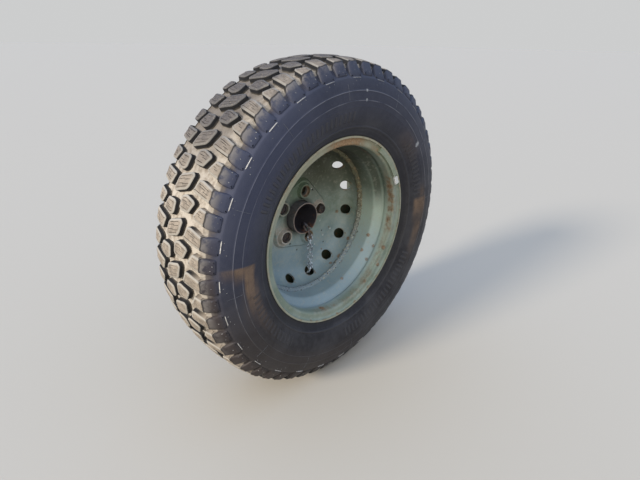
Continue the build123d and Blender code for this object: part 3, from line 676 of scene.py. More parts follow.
def rubber_look():
    """Weathered black rubber: dusty tread, grey sidewall with a painted bluish sky reflection, dried mud."""
    look = Look("tyre_rubber_weathered")
    radius, depth, sector, noise = look.radius, look.depth, look.sector, look.noise
    below = look.field("Attribute", output="Fac", attribute_name="below")
    fine, mid, wide = noise(2.0, 2), noise(13, 4, 0.6), noise(70, 4)
    from_near = depth.math("MINIMUM", FAR_LIP - depth)
    on_crown = from_near.step(SHOULDER_DEPTH - 1.5, SHOULDER_DEPTH + 1.0)
    floor = below.step(0.93, 0.995)
    near = depth.step(60, 30)

    # Sidewall
    # Pale lines on the raised rings are a painted highlight, weaker towards the bottom.
    lines = largest([radius.band(line - 0.7, line + 0.7, 0.4) for line in LINE_RINGS])
    lines = lines * noise(30, 3).step(0.3, 0.55) * look.z.step(-170, 10).blend(0.25, 1.0)
    # Painted reflection of the sky, bluish on the upper sidewall.
    sky_reflection = sector(142, 42, 34) | look.z.step(-60, 300) * 0.6
    sky_reflection = sky_reflection * radius.step(236, 300).blend(0.45, 1.0)
    side = layered(
        mid.step(0.35, 0.7).mix(SIDE_BLACK, SIDE_GREY),
        (wide.step(0.4, 0.7) * 0.6, SIDE_FILM_AND_HIGHLIGHT),
        (fine.step(0.6, 0.75) * 0.5, SIDE_FILM_AND_HIGHLIGHT),
        (lines * 0.75, RING_HIGHLIGHT_GREY),
        (radius.band(238.5, 242.0, 0.9) * 0.45, SIDE_FILM_AND_HIGHLIGHT),
        (radius.step(236, 231) * 0.6, SIDE_BLACK),
        (sky_reflection * near.blend(0.2, 0.72), SIDE_SKY_REFLECTION),
        (radius.step(225.5, 223.0), WALL_BLACK),
    )

    # Block tops, darker where the photo shows them in shade
    # Painted shade on the block tops towards the top of the tyre, also laid on the groove dust below.
    crown_top_shade = sector(84, 30, 30) * depth.step(14, 40).blend(0.6, 1.0)
    shaded = sector(96, 48, 13) * depth.step(22, 48).blend(0.4, 1.0)
    shaded = shaded * 0.8 | crown_top_shade * 0.75
    top = layered(
        mid.step(0.35, 0.7).mix(TAN_TOP, TAN_WORN),
        (fine.step(0.48, 0.72) * 0.6, TAN_WORN),
        # Painted highlight on the border and bevel of each block top.
        (below.step(0.004, 0.05) * 0.75, BORDER_HIGHLIGHT),
        (shaded, fine.step(0.55, 0.7).mix(TOP_SHADE, TAN_WORN)),
    )

    # Lug ends, block walls and the groove floor
    flank = layered(
        side,
        (sector(206, 36, 14) * radius.step(336, 350) * 0.8, FLANK_BROWN),
        (sector(150, 48, 22) * radius.step(349, 363) * mid.step(0.34, 0.58) * 0.75, FLANK_PALE),
    )
    # Up-facing walls on the near left side: dust, and painted sunlight too.
    settled_dust_and_sunlight = look.up.step(0.25, 0.7) * sector(176, 46, 16) * depth.step(30, 8)
    black = layered(
        WALL_BLACK,
        ((below + mid * 0.35).step(0.72, 1.15) * 0.8, WALL_DUSTY),
        (settled_dust_and_sunlight * 0.8, TAN_TOP),
    )
    # Groove dust, with the same painted shade towards the top.
    dust = layered(mid.step(0.4, 0.7).mix(GROOVE_DUST, GROOVE_DIRT), (shaded, GROOVE_SHADE))
    groove_start = radius + mid * 16
    in_groove = floor * groove_start.step(349, 357)
    in_flank = groove_start.step(351, 361) * sector(172, 54, 18) * floor
    # Painted shadow line along the shoulder's edge, under the block tops.
    shoulder_shadow_line = from_near.band(SHOULDER_DEPTH - 1.4, SHOULDER_DEPTH + 0.5, 0.5)
    wall = below.step(0.14, 0.22) * below.step(0.99, 0.86) * on_crown
    mud = [
        look.fading(start, length, sharp) * radius.band(inner, outer, soft) * strength
        for start, length, sharp, inner, outer, soft, strength in MUD_PATCHES
    ]
    patchy = noise(26, 6, 0.65).step(0.3, 0.58).blend(0.65, 1.0)
    mud = largest(mud) * patchy * fine.step(0.3, 0.6).blend(0.75, 1.0) * near
    scuffs = (noise(8, 3), fine, fine)
    scuffs = [look.spot(*scuff, wobble) for scuff, wobble in zip(SCUFFS, scuffs)]
    teeth = (look.z.math("ARCTAN2", look.x) * SERRATION_COUNT).math("SINE").step(-0.2, 0.5)
    teeth = teeth * largest([sector(angle, half, 0.6) for angle, half in SERRATIONS])
    teeth = teeth * radius.band(*SERRATION_R, 1.0)
    color = layered(
        on_crown.mix(flank, top),
        (wall, black),
        (in_flank * (1.0 - on_crown), radius.step(361, 367).mix(FLANK_DUST, dust)),
        (in_groove * on_crown, dust),
        (shoulder_shadow_line * radius.step(355, 360) * below.step(0.9, 0.6) * 0.85, WALL_BLACK),
        (mud * 0.9, noise(24, 5, 0.6).step(0.36, 0.66).mix(MUD_LIGHT, MUD_DARK)),
        (sector(235, 42, 18) * radius.band(288, 345, 18) * near * 0.55, SHEEN_BROWN),
        (largest(scuffs) * 0.85, SCUFF_GREY),
        # The serration crests get a painted highlight.
        (teeth * 0.55, SIDE_FILM_AND_HIGHLIGHT),
    )

    rough = on_crown.blend(mid.blend(0.42, 0.62), 0.88)
    rough = (mud | in_groove).blend(rough, 0.95)
    height = fine * 0.4 + mud * 0.9 + teeth * 2.4 + noise(24, 4) * 0.8
    return look.finish(color, rough, height, 0.7, specular=0.3)


def mark_crest_look(name, lumps, edges, low, high, shade, grain, rough, specular):
    """Rubbed crests of the pips and ribs, a painted glint on the bars; some get painted shade towards the top
    right.
    """
    look = Look(name)
    color = look.noise(*lumps).step(*edges).mix(low, high)
    if shade:
        share, tone = shade
        # Painted shade towards the top right.
        color = (look.sector(52, 70, 22) * share).mix(color, tone)
    return look.finish(color, rough, look.noise(grain, 3), 0.2, specular=specular)


# Rim look
PAINT_GREEN = (0.22, 0.278, 0.218)
PAINT_PALE = (0.312, 0.374, 0.318)
OLIVE_TONE_AND_SHADE = (0.085, 0.082, 0.046)
PAINT_SHADE = (0.026, 0.024, 0.014)
PAINT_LIT = (0.53, 0.64, 0.545)
PAINT_YELLOW = (0.44, 0.405, 0.265)
SKY_REFLECTION_BLUE = (0.3, 0.41, 0.5)
CHALK = (0.46, 0.45, 0.36)
RUST_BRIGHT = (0.33, 0.19, 0.095)
RUST_DARK = (0.1, 0.05, 0.03)
BEIGE = (0.46, 0.39, 0.29)
GRIME_AND_HOLE_SHADE = (0.03, 0.028, 0.025)
SLOPE_SHADE_GREEN = (0.045, 0.055, 0.034)
PAINT_WORN = (0.4, 0.46, 0.43)
PAINT_FRESH = (0.16, 0.25, 0.15)
RUST_ORANGE = (0.5, 0.32, 0.18)
LIP_WEAR_AND_HIGHLIGHT = (0.5, 0.47, 0.34)
DUST_PALE = (0.52, 0.48, 0.42)
SPECK_PALE = (0.7, 0.7, 0.66)
# Rust spots: radius, angle, depth, size, strength
RUST_SPOTS = (
    (183, 336, 60, 6, 0.9), (183, 322.5, 60, 5, 0.8), (178, 309, 112, 7, 0.9), (178, 327, 114, 6, 0.9),
    (177, 299.5, 120, 5, 0.8), (199, 331, 11, 7, 0.9), (205, 317.5, 7, 6, 0.9), (199, 257.5, 23, 9, 1.0),
    (178, 259, 107, 8, 0.9), (183, 292, 60, 5, 0.7), (199, 301, 10, 6, 0.8), (216, 285, 0, 6, 0.8),
    (199, 317.5, 43, 5, 0.7), (200, 329, 42, 5, 0.7), (199, 12, 14, 8, 0.8), (199, 2, 20, 6, 0.7),
    (199, 24, 18, 7, 0.7), (216, 268, 1, 5, 0.8), (216, 300, 1, 5, 0.7), (216, 243, 1, 5, 0.6),
    (147, 349, 155, 6, 0.8), (132, 330, 157, 3, 0.8), (150, 305, 155, 3, 0.7), (120, 290, 157, 3, 0.7),
)
# Dark pits and pale specks: radius, angle, depth, size
DARK_PITS = (
    (178, 343, 107, 4), (183, 335.5, 98, 4), (110, 322, 157, 2.5), (140, 312, 157, 2.5), (96, 268, 156, 3),
)
PALE_SPECKS = (
    (216, 61.5, 3, 3), (124, 318, 157, 3), (140, 329, 157, 3), (118, 301, 157, 2.5), (88, 335, 155, 3),
    (75, 56, 151, 2.5),
)
BOLT_CIRCLE_R = 65.0
FIRST_BOLT_DEG = 76.94
# Ring of dirt round each bolt hole, clockwise from the top: inner and outer radius, colour, strength
BOLT_RINGS = (
    (11.5, 15.0, (0.24, 0.135, 0.075), 0.9),
    (12.5, 22.0, (0.52, 0.45, 0.38), 1.0),
    (8.0, 15.0, RUST_BRIGHT, 0.9),
    (14.5, 24.0, (0.55, 0.48, 0.41), 0.95),
    (12.0, 17.0, BEIGE, 0.5),
)
VENT_COUNT = 15
FIRST_VENT_DEG = 40.07
VENT_CIRCLE_R = 168.0
VENT_DEPTH = 144.13
VENT_TILT_DEG = 48.6


def rim_look():
    """Faded grey-green paint with rust at the seat, the weld and scattered spots."""
    look = Look("rim_paint_faded")
    radius, depth, sector, aside, noise = look.radius, look.depth, look.sector, look.aside, look.noise
    fine, mid, wide = noise(1.6, 2), noise(9, 4, 0.6), noise(60, 3)
    ragged = noise(5, 4, 0.7)

    # Rust
    seat = sector(8, 24, 8) | sector(-60, 50, 10) * 0.5
    seat = depth.band(8, 26, 4) * seat * noise(22, 5, 0.7).step(0.4, 0.62)
    weld = depth.band(98, 113, 4) * radius.band(172, 184, 2) * noise(12, 5, 0.7).step(0.5, 0.62)
    top = sector(88, 15, 6) * radius.band(199, 217, 2.5) * mid.step(0.3, 0.48)
    top = top | sector(56, 7, 5) * radius.band(200, 212, 3) * mid.step(0.4, 0.55) * 0.7
    lip_rust = depth.step(2.6, 1.0) * noise(18, 4, 0.7).step(0.5, 0.62)
    vent_step = math.radians(360 / VENT_COUNT)
    lap = (look.z.math("ARCTAN2", look.x) - math.radians(FIRST_VENT_DEG)) / vent_step
    arc = (lap - lap.math("ROUND")) * (vent_step * VENT_CIRCLE_R)
    slope = (radius - VENT_CIRCLE_R) * (1 / math.cos(math.radians(VENT_TILT_DEG)))
    from_vent = (arc * arc + slope * slope).math("SQRT")
    vent_edge = from_vent.band(13, 15.2, 0.6) * mid.step(0.44, 0.56) * depth.step(125, 130)
    spots = [look.spot(*spot, ragged) * strength for *spot, strength in RUST_SPOTS]
    rusty = largest([seat, weld, top, lip_rust, vent_edge * 0.8, *spots])
    rust = noise(6, 4, 0.7).step(0.4, 0.7).mix(RUST_BRIGHT, RUST_DARK)
    rust = top.mix(rust, ragged.step(0.4, 0.62).mix(RUST_ORANGE, RUST_BRIGHT))

    # Paint, with the shade and light that the photo shows inside the barrel
    # Painted shade on the upper inside of the rim.
    upper = look.z.step(-20, 100) * depth.step(30, 110)
    # Painted shade on the disc's upper shoulder and in the upper barrel.
    shoulder = sector(105, 50, 25) * radius.step(95, 150) * depth.step(40, 90)
    barrel = sector(88, 46, 24) * depth.step(20, 36) * radius.step(178, 184)
    lit = sector(-24, 32, 14) * radius.step(170, 180) * depth.band(13, 106, 6)
    # Painted shade on the slope below the bead seat, towards the top right.
    slope_dark = sector(50, 40, 12) * radius.band(185.5, 198.5, 1.8) * depth.step(24, 30)
    mottled = noise(26, 5, 0.7).step(0.46, 0.62) * depth.step(100, 130) * look.z.step(70, 10)
    smear = sector(12, 34, 12) * depth.band(9, 25, 5) * noise(20, 5, 0.65).step(0.34, 0.56)
    color = layered(
        wide.step(0.35, 0.65).mix(PAINT_GREEN, PAINT_PALE),
        (upper * 0.8, OLIVE_TONE_AND_SHADE),
        (barrel * 0.96, PAINT_SHADE),
        (shoulder * 0.85, PAINT_SHADE),
        (lit * 0.9, PAINT_LIT),
        (sector(105, 52, 26) * depth.step(14, 6) * 0.8, PAINT_YELLOW),
        (slope_dark * 0.78, SLOPE_SHADE_GREEN),
        # Painted reflection of the sky on the lower rim.
        (look.z.step(0, -120) * depth.step(18, 42) * 0.6, SKY_REFLECTION_BLUE),
        (mottled * 0.45, PAINT_WORN),
        (mid.step(0.5, 0.75) * (barrel | shoulder).blend(0.45, 0.08), CHALK),
        (fine.step(0.62, 0.74) * 0.3, OLIVE_TONE_AND_SHADE),
        (smear * 0.42, BEIGE),
        (rusty * 0.9, rust),
        # Lighter lip edge: wear, and a painted highlight too.
        (depth.step(1.6, 0.5) * 0.55, LIP_WEAR_AND_HIGHLIGHT),
    )

    # Dirt on the hub, and painted shade inside the bolt holes
    for place, (inner, outer, tone, strength) in enumerate(BOLT_RINGS):
        away = aside(BOLT_CIRCLE_R, FIRST_BOLT_DEG - place * 72)
        ring = away.band(inner, outer, 1.5) * ragged.step(0.32, 0.5) * depth.step(135, 139)
        # Painted shade inside the bolt hole.
        pit = away.step(inner + 0.3, inner - 0.7) * depth.step(139, 141)
        color = layered(color, (ring * strength, tone), (pit * 0.9, GRIME_AND_HOLE_SHADE))
    worn = (aside(70, 215).step(46, 18) | aside(66, 5).step(30, 14)) * depth.step(138, 142)
    worn = worn * radius.step(108, 96) * noise(18, 5, 0.65).step(0.36, 0.58)
    fresh = aside(66, 88).step(44, 20) * depth.step(138, 142) * aside(65, 77).step(14, 16)
    grime = aside(105, 305).step(60, 20) * noise(7, 4, 0.7).step(0.55, 0.68) * depth.step(140, 146)
    color = layered(
        color,
        (worn * 0.8, ragged.step(0.4, 0.6).mix(BEIGE, DUST_PALE)),
        (fresh * 0.5, PAINT_FRESH),
        (radius.step(56, 44) * depth.step(140, 145) * 0.6, GRIME_AND_HOLE_SHADE),
        (grime * 0.5, BEIGE),
        (largest([look.spot(*pit, ragged) for pit in DARK_PITS]) * 0.8, GRIME_AND_HOLE_SHADE),
        (largest([look.spot(*speck, ragged) for speck in PALE_SPECKS]) * 0.85, SPECK_PALE),
    )

    rough = (rusty | barrel * 0.6 | shoulder * 0.6).blend(mid.blend(0.34, 0.5), 0.85)
    return look.finish(color, rough, fine * 0.3 + rusty * 0.7 + mid * 0.5, 0.35, specular=0.4)


def weld_look():
    """Lumpy weld with flaking paint and rust."""
    look = Look("weld_crust")
    lumps = look.noise(5, 5, 0.7)
    flakes = look.noise(5, 3, 0.6).step(0.54, 0.6) * look.sector(-35, 50, 20)
    color = layered(
        lumps.step(0.36, 0.5).mix((0.34, 0.32, 0.21), (0.19, 0.185, 0.12)),
        (look.noise(16, 5, 0.7).step(0.48, 0.58) * 0.45, (0.24, 0.155, 0.08)),
        # Painted reflection of the sky on the lower weld.
        (look.z.step(40, -150) * 0.6, SKY_REFLECTION_BLUE),
        (flakes * 0.8, (0.52, 0.5, 0.4)),
        (look.noise(4, 3).step(0.6, 0.66), (0.05, 0.035, 0.025)),
    )
    return look.finish(color, 0.85, lumps, 1.2, specular=0.3)


def tube_look():
    """Dark bare tube, worn bright with a painted highlight round its mouth, painted shade inside, and rusty
    in its notch.
    """
    look = Look("tube_dark_worn")
    radius, depth = look.radius, look.depth
    mid, ragged = look.noise(7, 4, 0.6), look.noise(4, 4, 0.7)
    lip = (depth + ragged * 3.0).step(TUBE_MOUTH_DEPTH + 3.4, TUBE_MOUTH_DEPTH + 1.6)
    inner = radius.step(38.6, 38.0) * depth.step(TUBE_MOUTH_DEPTH + 12, TUBE_MOUTH_DEPTH)
    notch = look.sector(NOTCH_DEG, 26, 10) * depth.step(150, 140)
    notch = notch * radius.step(35, 36.5) * ragged.step(0.4, 0.55)
    rusty = notch | look.noise(9, 5, 0.7).step(0.58, 0.66) * 0.6
    color = layered(
        mid.step(0.35, 0.7).mix((0.105, 0.101, 0.108), (0.17, 0.158, 0.158)),
        # Painted shade on the inside of the tube.
        (radius.step(38.4, 37.9) * 0.85, (0.036, 0.034, 0.046)),
        # Lighter mouth: wear, and a painted highlight too.
        (lip * radius.step(37.0, 38.0) * 0.8, (0.4, 0.31, 0.25)),
        (inner * mid.step(0.4, 0.6) * 0.5, (0.075, 0.055, 0.05)),
        (rusty * 0.8, (0.19, 0.085, 0.045)),
    )
    return look.finish(color, rusty.blend(mid.blend(0.36, 0.55), 0.85), ragged + rusty, 0.3)


def chain_look():
    """Dull galvanised wire, rusty where it leaves the tube."""
    look = Look("chain_dull")
    mid, ragged = look.noise(5, 4, 0.6), look.noise(3, 4, 0.7)
    rusty = (look.radius + ragged * 8).step(64, 56) | look.noise(7, 4, 0.7).step(0.6, 0.7) * 0.7
    color = mid.step(0.44, 0.62).mix((0.7, 0.77, 0.84), (0.14, 0.15, 0.17))
    color = (rusty * 0.9).mix(color, (0.1, 0.065, 0.05))
    return look.finish(color, rusty.blend(0.36, 0.85), ragged, 0.15, rusty.blend(0.3, 0.0))


def simple_look(name, light, dark, rough, metallic, rust, size):
    """Plain finish with grain, wear and an optional share of rust."""
    look = Look(name)
    fine, mid = look.noise(size / 4, 2), look.noise(size, 4, 0.6)
    color = mid.step(0.35, 0.7).mix(light, dark)
    if rust:
        rusty = look.noise(size * 1.3, 5, 0.7).step(0.62 - rust * 0.3, 0.72 - rust * 0.3)
        color = rusty.mix(color, fine.step(0.4, 0.7).mix((0.22, 0.1, 0.05), (0.09, 0.045, 0.03)))
        rough, metallic = rusty.blend(rough, 0.85), rusty.blend(metallic, 0.0)
    return look.finish(color, rough, fine, 0.2, metallic)


# Small pieces that stand in for plain solids
TUBE_R = 39.9
TUBE_WALL = 2.6
TUBE_MOUTH_DEPTH = 126.0
TUBE_BACK_DEPTH = 200.0
TUBE_LIP = 0.9
NOTCH_DEG = -67.5
NOTCH_WIDTH = 17.0
NOTCH_LENGTH = 17.0
NOTCH_CORNER = 2.0
NOTCH_STEPS = 12
NOTCH_EDGE_DEG = 0.06
MOUTH_STEPS = 90
MOUTH_DENT = 0.35
CHAIN_WIRE_R = 1.9
CHAIN_WIDTH = 15.0
CHAIN_STEPS = 11
CHAIN_ROUTE = ((29.9, NOTCH_DEG, 141.0), (49.5, NOTCH_DEG, 130.5))
CHAIN_VENT_DEG = FIRST_VENT_DEG - 5 * 360 / VENT_COUNT
CHAIN_AT_VENT = (-5.5, 16.5)
LINK_GAP = 0.9
LINK_BOW = 0.72
LINK_BEND_STEPS = 8
# Nuts: name, bolt hole counted clockwise from the top, depth of the outer face
NUTS = (("right", 1, 133.0), ("lower_left", 3, 143.5), ("upper_left", 4, 143.5))
NUT_SIDES = 72
NUT_FLAT_R = 11.0
NUT_CHAMFER = ((10.4, 0.0), (11.3, 0.5), (12.0, 1.0), (12.8, 1.7))
NUT_BORE_R = 7.3
NUT_POCKET = (13.7, 146.7)
NUT_TIP = (8.2, 152.2)
WELD_CORNER = (182.9, 107.1)
WELD_SIZE = 8.0
WELD_TURNS = 420
WELD_SIDES = 8
WELD_ARC = (-12, 102)
# Lumps of the weld: share of its size, and how closely they follow each other
WELD_LUMPS = ((0.38, 26), (0.22, 60))


def add_loop(points, faces, line, flat, radius, sides=10):
    """Add a round wire along a closed flat line, in millimetres."""
    faces += ring_faces(len(line), sides, len(points))
    for before, here, after in neighbours(line):
        out = (after - before).normalized().cross(flat)
        for side in range(sides):
            turn = 2 * math.pi * side / sides
            points.append((here + out * (radius * math.cos(turn)) + flat * (radius * math.sin(turn))) * MM)


def chain_route():
    """Corner points of the chain's route, in millimetres."""
    tilt, turn = math.radians(VENT_TILT_DEG), math.radians(CHAIN_VENT_DEG)
    into_vent = Vector((math.cos(turn) * math.sin(tilt), math.cos(tilt), math.sin(turn) * math.sin(tilt)))
    vent = on_wheel(VENT_CIRCLE_R, CHAIN_VENT_DEG, VENT_DEPTH) / MM
    start = [on_wheel(*place) / MM for place in CHAIN_ROUTE]
    return start + [vent + into_vent * along for along in CHAIN_AT_VENT]


def wire_chain(material):
    """Chain of round wire links along its route."""
    route = chain_route()
    runs = [(b - a).length for a, b in zip(route, route[1:])]
    step = sum(runs) / CHAIN_STEPS

    def along_route(distance):
        for a, b, run in zip(route, route[1:], runs):
            if distance <= run + LINK_GAP / 3:
                return a.lerp(b, distance / run)
            distance -= run
        return route[-1]

    points, faces = [], []
    for number in range(CHAIN_STEPS):
        a, b = along_route(number * step), along_route((number + 1) * step)
        along = (b - a).normalized()
        turn = math.radians(NOTCH_DEG if number == 0 else CHAIN_VENT_DEG)
        flat = along.cross(Vector((-math.sin(turn), 0, math.cos(turn)))).normalized()
        if number % 2:
            flat = along.cross(flat).normalized()
        if 0 < number < CHAIN_STEPS - 1:
            flat = (flat + along.cross(flat)).normalized()
        side = flat.cross(along)
        half_width = CHAIN_WIDTH / 2 - CHAIN_WIRE_R
        bow = half_width * LINK_BOW
        half_straight = (b - a).length / 2 + LINK_GAP / 2 + CHAIN_WIRE_R - bow
        line = []
        for end in (1, -1):
            for piece in range(LINK_BEND_STEPS + 1):
                bend = math.radians(-90 + 180 * piece / LINK_BEND_STEPS)
                forward = half_straight + bow * math.cos(bend)
                sideways = end * half_width * math.sin(bend)
                line.append((a + b) / 2 + along * (end * forward) + side * sideways)
        add_loop(points, faces, line, flat, CHAIN_WIRE_R)
    return make_piece("chain_wire", points, faces, material)


def tube_columns():
    """Angle and mouth depth of each column of the lock tube, with its notch."""
    half = math.degrees(math.asin(NOTCH_WIDTH / 2 / TUBE_R))
    corner = math.degrees(NOTCH_CORNER / TUBE_R)
    low = TUBE_MOUTH_DEPTH + NOTCH_LENGTH
    columns = []
    for step in range(NOTCH_STEPS + 1):
        share = step / NOTCH_STEPS
        angle = half - 2 * half * share
        inset = max(0.0, 1 - min(share, 1 - share) * 2 * half / corner)
        columns.append((NOTCH_DEG + angle, low - NOTCH_CORNER * (1 - math.sqrt(max(0.0, 1 - inset**2)))))
    edge = half + NOTCH_EDGE_DEG
    turns = [edge + (360 - 2 * edge) * step / MOUTH_STEPS for step in range(MOUTH_STEPS + 1)]
    columns += [(NOTCH_DEG - turn, TUBE_MOUTH_DEPTH) for turn in turns]
    return columns


def worn_tube(material):
    """Lock tube with a rounded, slightly dented lip and a notch for the chain."""
    points, columns = [], tube_columns()
    for angle, mouth in columns:
        turn = math.radians(angle)
        dent = MOUTH_DENT * ripple(Vector((math.cos(turn) * 2.5, math.sin(turn) * 2.5, 1.0)))
        lip = max(0.0, dent) if mouth == TUBE_MOUTH_DEPTH else 0.0
        length = TUBE_BACK_DEPTH - mouth
        wall = [(0.0, TUBE_BACK_DEPTH)] + [(0.0, mouth + length * share) for share in (0.66, 0.33, 0.1)]
        wall += [(0.0, mouth + TUBE_LIP + lip), (0.3, mouth + 0.3 + lip), (TUBE_LIP, mouth + lip)]
        section = [(TUBE_R - inset, depth) for inset, depth in wall]
        section += [(TUBE_R - TUBE_WALL + inset, depth) for inset, depth in reversed(wall)]
        points += [on_wheel(radius, angle, depth) for radius, depth in section]
    faces = ring_faces(len(columns), len(section))
    return make_piece("lock_tube_worn", points, faces, material, 40)


def hex_nut(name, place, face, material):
    """Nut with a chamfered outer face and a cone that seats in the disc."""
    bolt_deg = FIRST_BOLT_DEG - place * 72
    middle = on_wheel(BOLT_CIRCLE_R, bolt_deg, LIP_TO_DOOR)
    points = []
    for side in range(NUT_SIDES):
        angle = 360 / NUT_SIDES * side
        hexagon = NUT_FLAT_R / math.cos(math.radians(angle % 60 - 30))
        ring = [(NUT_BORE_R, NUT_TIP[1]), (NUT_BORE_R, face + 1.0), (NUT_BORE_R + 0.9, face)]
        ring += [(min(limit, hexagon), face + down) for limit, down in NUT_CHAMFER]
        ring += [(hexagon, NUT_POCKET[1] - 0.4), NUT_POCKET, NUT_TIP]
        points += [middle + on_wheel(radius, angle + bolt_deg, depth) for radius, depth in ring]
    faces = ring_faces(NUT_SIDES, len(ring))
    return make_piece(f"nut_{name}_chamfered", points, faces, material, 25)


def weld_bead(material):
    """Lumpy weld in the corner between the disc's edge and the barrel."""
    corner_r, corner_depth = WELD_CORNER
    first, last = WELD_ARC
    points = []
    for turn in range(WELD_TURNS):
        angle = 360 * turn / WELD_TURNS
        direction = Vector((math.cos(math.radians(angle)), math.sin(math.radians(angle)), 0))
        size = WELD_SIZE * (1 + sum(share * ripple(direction * pace) for share, pace in WELD_LUMPS))
        points.append(on_wheel(corner_r, angle, corner_depth))
        for side in range(WELD_SIDES):
            bend = math.radians(first + (last - first) * side / (WELD_SIDES - 1))
            place = corner_r - size * math.cos(bend), angle, corner_depth - size * math.sin(bend)
            points.append(on_wheel(*place))
    return make_piece("weld_bead", points, ring_faces(WELD_TURNS, WELD_SIDES + 1), material)


# Plain finishes: slot, name, light and dark tone, roughness, metallic, share of rust, size of the lumps
PLAIN_LOOKS = (
    ("valve_rubber", "valve_rubber_old", (0.03, 0.03, 0.03), (0.05, 0.048, 0.045), 0.65, 0, 0, 6),
    ("valve_cap_plastic", "valve_cap_black", (0.025, 0.025, 0.025), (0.04, 0.04, 0.04), 0.45, 0, 0, 6),
    ("weight_paint", "weight_painted", (0.29, 0.34, 0.24), (0.37, 0.4, 0.31), 0.5, 0, 0, 5),
    ("weight_metal", "weight_pale", (0.92, 0.92, 0.89), (0.78, 0.78, 0.74), 0.45, 0, 0, 3),
    ("carrier_paint", "carrier_green", (0.055, 0.068, 0.042), (0.085, 0.095, 0.06), 0.6, 0, 0.25, 6),
    ("fastener_steel", "fastener_brown", (0.022, 0.018, 0.017), (0.055, 0.045, 0.04), 0.55, 0.2, 0.2, 4),
)
# Raised marks: name, noise and its edges, tone in its low parts and in its high parts, painted shade towards
# the top right, size of the bumps, roughness, specular
# The bars' pale tones are a painted glint on their crests.
BAR_LOOK = (
    "tyre_bar_glint", (4, 3), (0.4, 0.7), (0.62, 0.6, 0.57), (0.33, 0.32, 0.31),
    (0.75, (0.15, 0.16, 0.19)), 4, 0.7, 0.3,
)
PIP_LOOK = (
    "tyre_pip_rubbed", (28, 2), (0.42, 0.6), (0.13, 0.13, 0.145), (0.42, 0.41, 0.4),
    (0.7, (0.12, 0.13, 0.16)), 3, 0.7, 0.3,
)
RIB_LOOK = (
    "tyre_rib_rubbed", (5, 3), (0.4, 0.7), (0.2, 0.21, 0.235), (0.09, 0.095, 0.11), None, 5, 0.6, 0.35,
)

rubber = rubber_look()
slot_looks = {slot: simple_look(*row) for slot, *row in PLAIN_LOOKS}
slot_looks |= {"rim_paint": rim_look(), "tube_steel": tube_look(), "chain_zinc": chain_look()}
for entry in frame["record"]["subparts"]:
    if entry["material_slot"] in slot_looks:
        materials = frame["nodes"][entry["node"]].data.materials
        materials.clear()
        materials.append(slot_looks[entry["material_slot"]])

# Pieces
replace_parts(tyre_carcass(rubber), "tyre")
lug_marks("lug_bars", [LUG_BAR], BAR_HEIGHT, mark_crest_look(*BAR_LOOK))
pip_patches = [[(at - size / 2, at + size / 2) for at, size in zip(pip, PIP_SIZE)] for pip in PIPS]
lug_marks("lug_pips", pip_patches, PIP_HEIGHT, mark_crest_look(*PIP_LOOK))
side_ribs(mark_crest_look(*RIB_LOOK))
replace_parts(wire_chain(slot_looks["chain_zinc"]), "chain")
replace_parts(worn_tube(slot_looks["tube_steel"]), "lock_tube")
for name, place, face in NUTS:
    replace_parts(hex_nut(name, place, face, slot_looks["fastener_steel"]), f"nut_{name}")
weld_bead(weld_look())
outer_blocks = (("lugs_long", LONG_LUG), ("lugs_short", SHORT_LUG), ("blocks", SECOND_BLOCK))
for name, block in outer_blocks:
    make_blocks(f"{name}_near", block, rubber)
make_blocks("blocks_centre", CENTRE_BLOCK, rubber)
for name, block in outer_blocks:
    make_blocks(f"{name}_far", turned(block), rubber)

# Stage, light and camera
FLOOR_Z = cad_low.z - 0.001
FLOOR_REACH = 60.0
FLOOR_PALE = (0.53, 0.487, 0.415)
FLOOR_BOUNCE = (0.2, 0.175, 0.14)
BACKGROUND = (0.607, 0.612, 0.613)
SKY_LOW = (0.36, 0.37, 0.39)
SKY_HIGH = (0.5, 0.66, 0.98)
SKY_TOP = 0.6
SKY_STRENGTH = 1.15
GLOW_FROM = (-0.78, -0.5, 0.36)
GLOW_REACH = (0.35, 1.0)
GLOW_COLOR = (1.15, 1.1, 0.98)
SUN_FROM = (-0.88, 0.13, 0.42)
SUN_STRENGTH = 2.9
SUN_SPREAD = 12.0
SUN_COLOR = (1.0, 0.93, 0.83)


def make_stage():
    """Pale floor that runs far behind the wheel, towards a background of the same tone."""
    mesh = bpy.data.meshes.new("floor")
    corners = ((-1, -1), (1, -1), (1, 1), (-1, 1))
    mesh.from_pydata([(x * FLOOR_REACH, y * FLOOR_REACH, FLOOR_Z) for x, y in corners], [], [(0, 1, 2, 3)])
    material = bpy.data.materials.new("floor_pale")
    material.use_nodes = True
    tree = material.node_tree
    shader = tree.nodes["Principled BSDF"]
    path = add_node(tree, "LightPath").outputs
    seen = Field(tree, path["Is Camera Ray"]) | path["Is Glossy Ray"]
    feed(tree, shader.inputs["Base Color"], seen.mix(FLOOR_BOUNCE, FLOOR_PALE))
    shader.inputs["Roughness"].default_value = 0.9
    mesh.materials.append(material)
    add_object("floor", mesh)


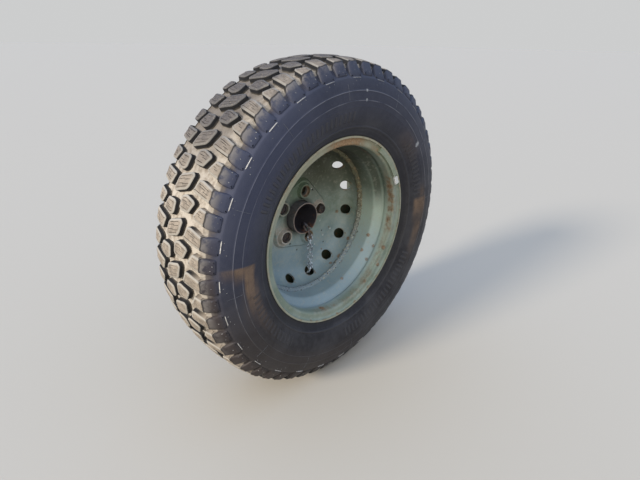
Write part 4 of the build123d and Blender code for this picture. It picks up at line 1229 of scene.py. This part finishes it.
def make_world():
    """Soft sky: bluish above, neutral at the horizon, with a warm glow from the left."""
    world = bpy.data.worlds.new("sky")
    bpy.context.scene.world = world
    world.use_nodes = True
    tree = world.node_tree
    tree.nodes.clear()
    path = add_node(tree, "LightPath").outputs
    shown = Field(tree, path["Is Camera Ray"]) | path["Is Transmission Ray"]
    where = add_node(tree, "TexCoord").outputs["Generated"]
    ramp = add_node(tree, "ValToRGB", {0: add_node(tree, "SeparateXYZ", {0: where}).outputs["Z"]})
    for element, place, tone in zip(ramp.color_ramp.elements, (0.0, SKY_TOP), (SKY_LOW, SKY_HIGH)):
        element.position, element.color = place, (*tone, 1)
    glow_from = Vector(GLOW_FROM).normalized()
    facing = add_node(tree, "VectorMath", {0: where, 1: glow_from}, operation="DOT_PRODUCT")
    glow = Field(tree, facing.outputs["Value"]).step(*GLOW_REACH)
    tone = glow.mix(ramp.outputs[0], GLOW_COLOR)
    sky = add_node(tree, "Background", {"Color": tone, "Strength": SKY_STRENGTH}).outputs[0]
    plain = add_node(tree, "Background", {"Color": BACKGROUND}).outputs[0]
    blend = add_node(tree, "MixShader", {0: shown, 1: sky, 2: plain})
    add_node(tree, "OutputWorld", {0: blend.outputs[0]})


def make_sun():
    """Soft light from the left, a little behind the wheel."""
    data = bpy.data.lights.new("sun", "SUN")
    data.energy = SUN_STRENGTH
    data.angle = math.radians(SUN_SPREAD)
    data.color = SUN_COLOR
    add_object("sun", data).rotation_euler = Vector(SUN_FROM).to_track_quat("Z", "Y").to_euler()


def make_camera():
    """The photograph's camera, found from the circles of the rim."""
    data = bpy.data.cameras.new("camera")
    data.sensor_width = SENSOR
    data.lens = SENSOR * FOCAL_PIXELS / PICTURE_WIDTH
    stand = Matrix.Translation(CAMERA_PLACE)
    for angle, axis in ((-CAMERA_YAW, "Z"), (90 - CAMERA_DOWN, "X"), (CAMERA_ROLL, "Z")):
        stand @= Matrix.Rotation(math.radians(angle), 4, axis)
    camera = add_object("camera", data)
    camera.matrix_world = stand
    bpy.context.scene.camera = camera


make_stage()
make_world()
make_sun()
make_camera()
bpy.context.scene.view_settings.view_transform = "Standard"
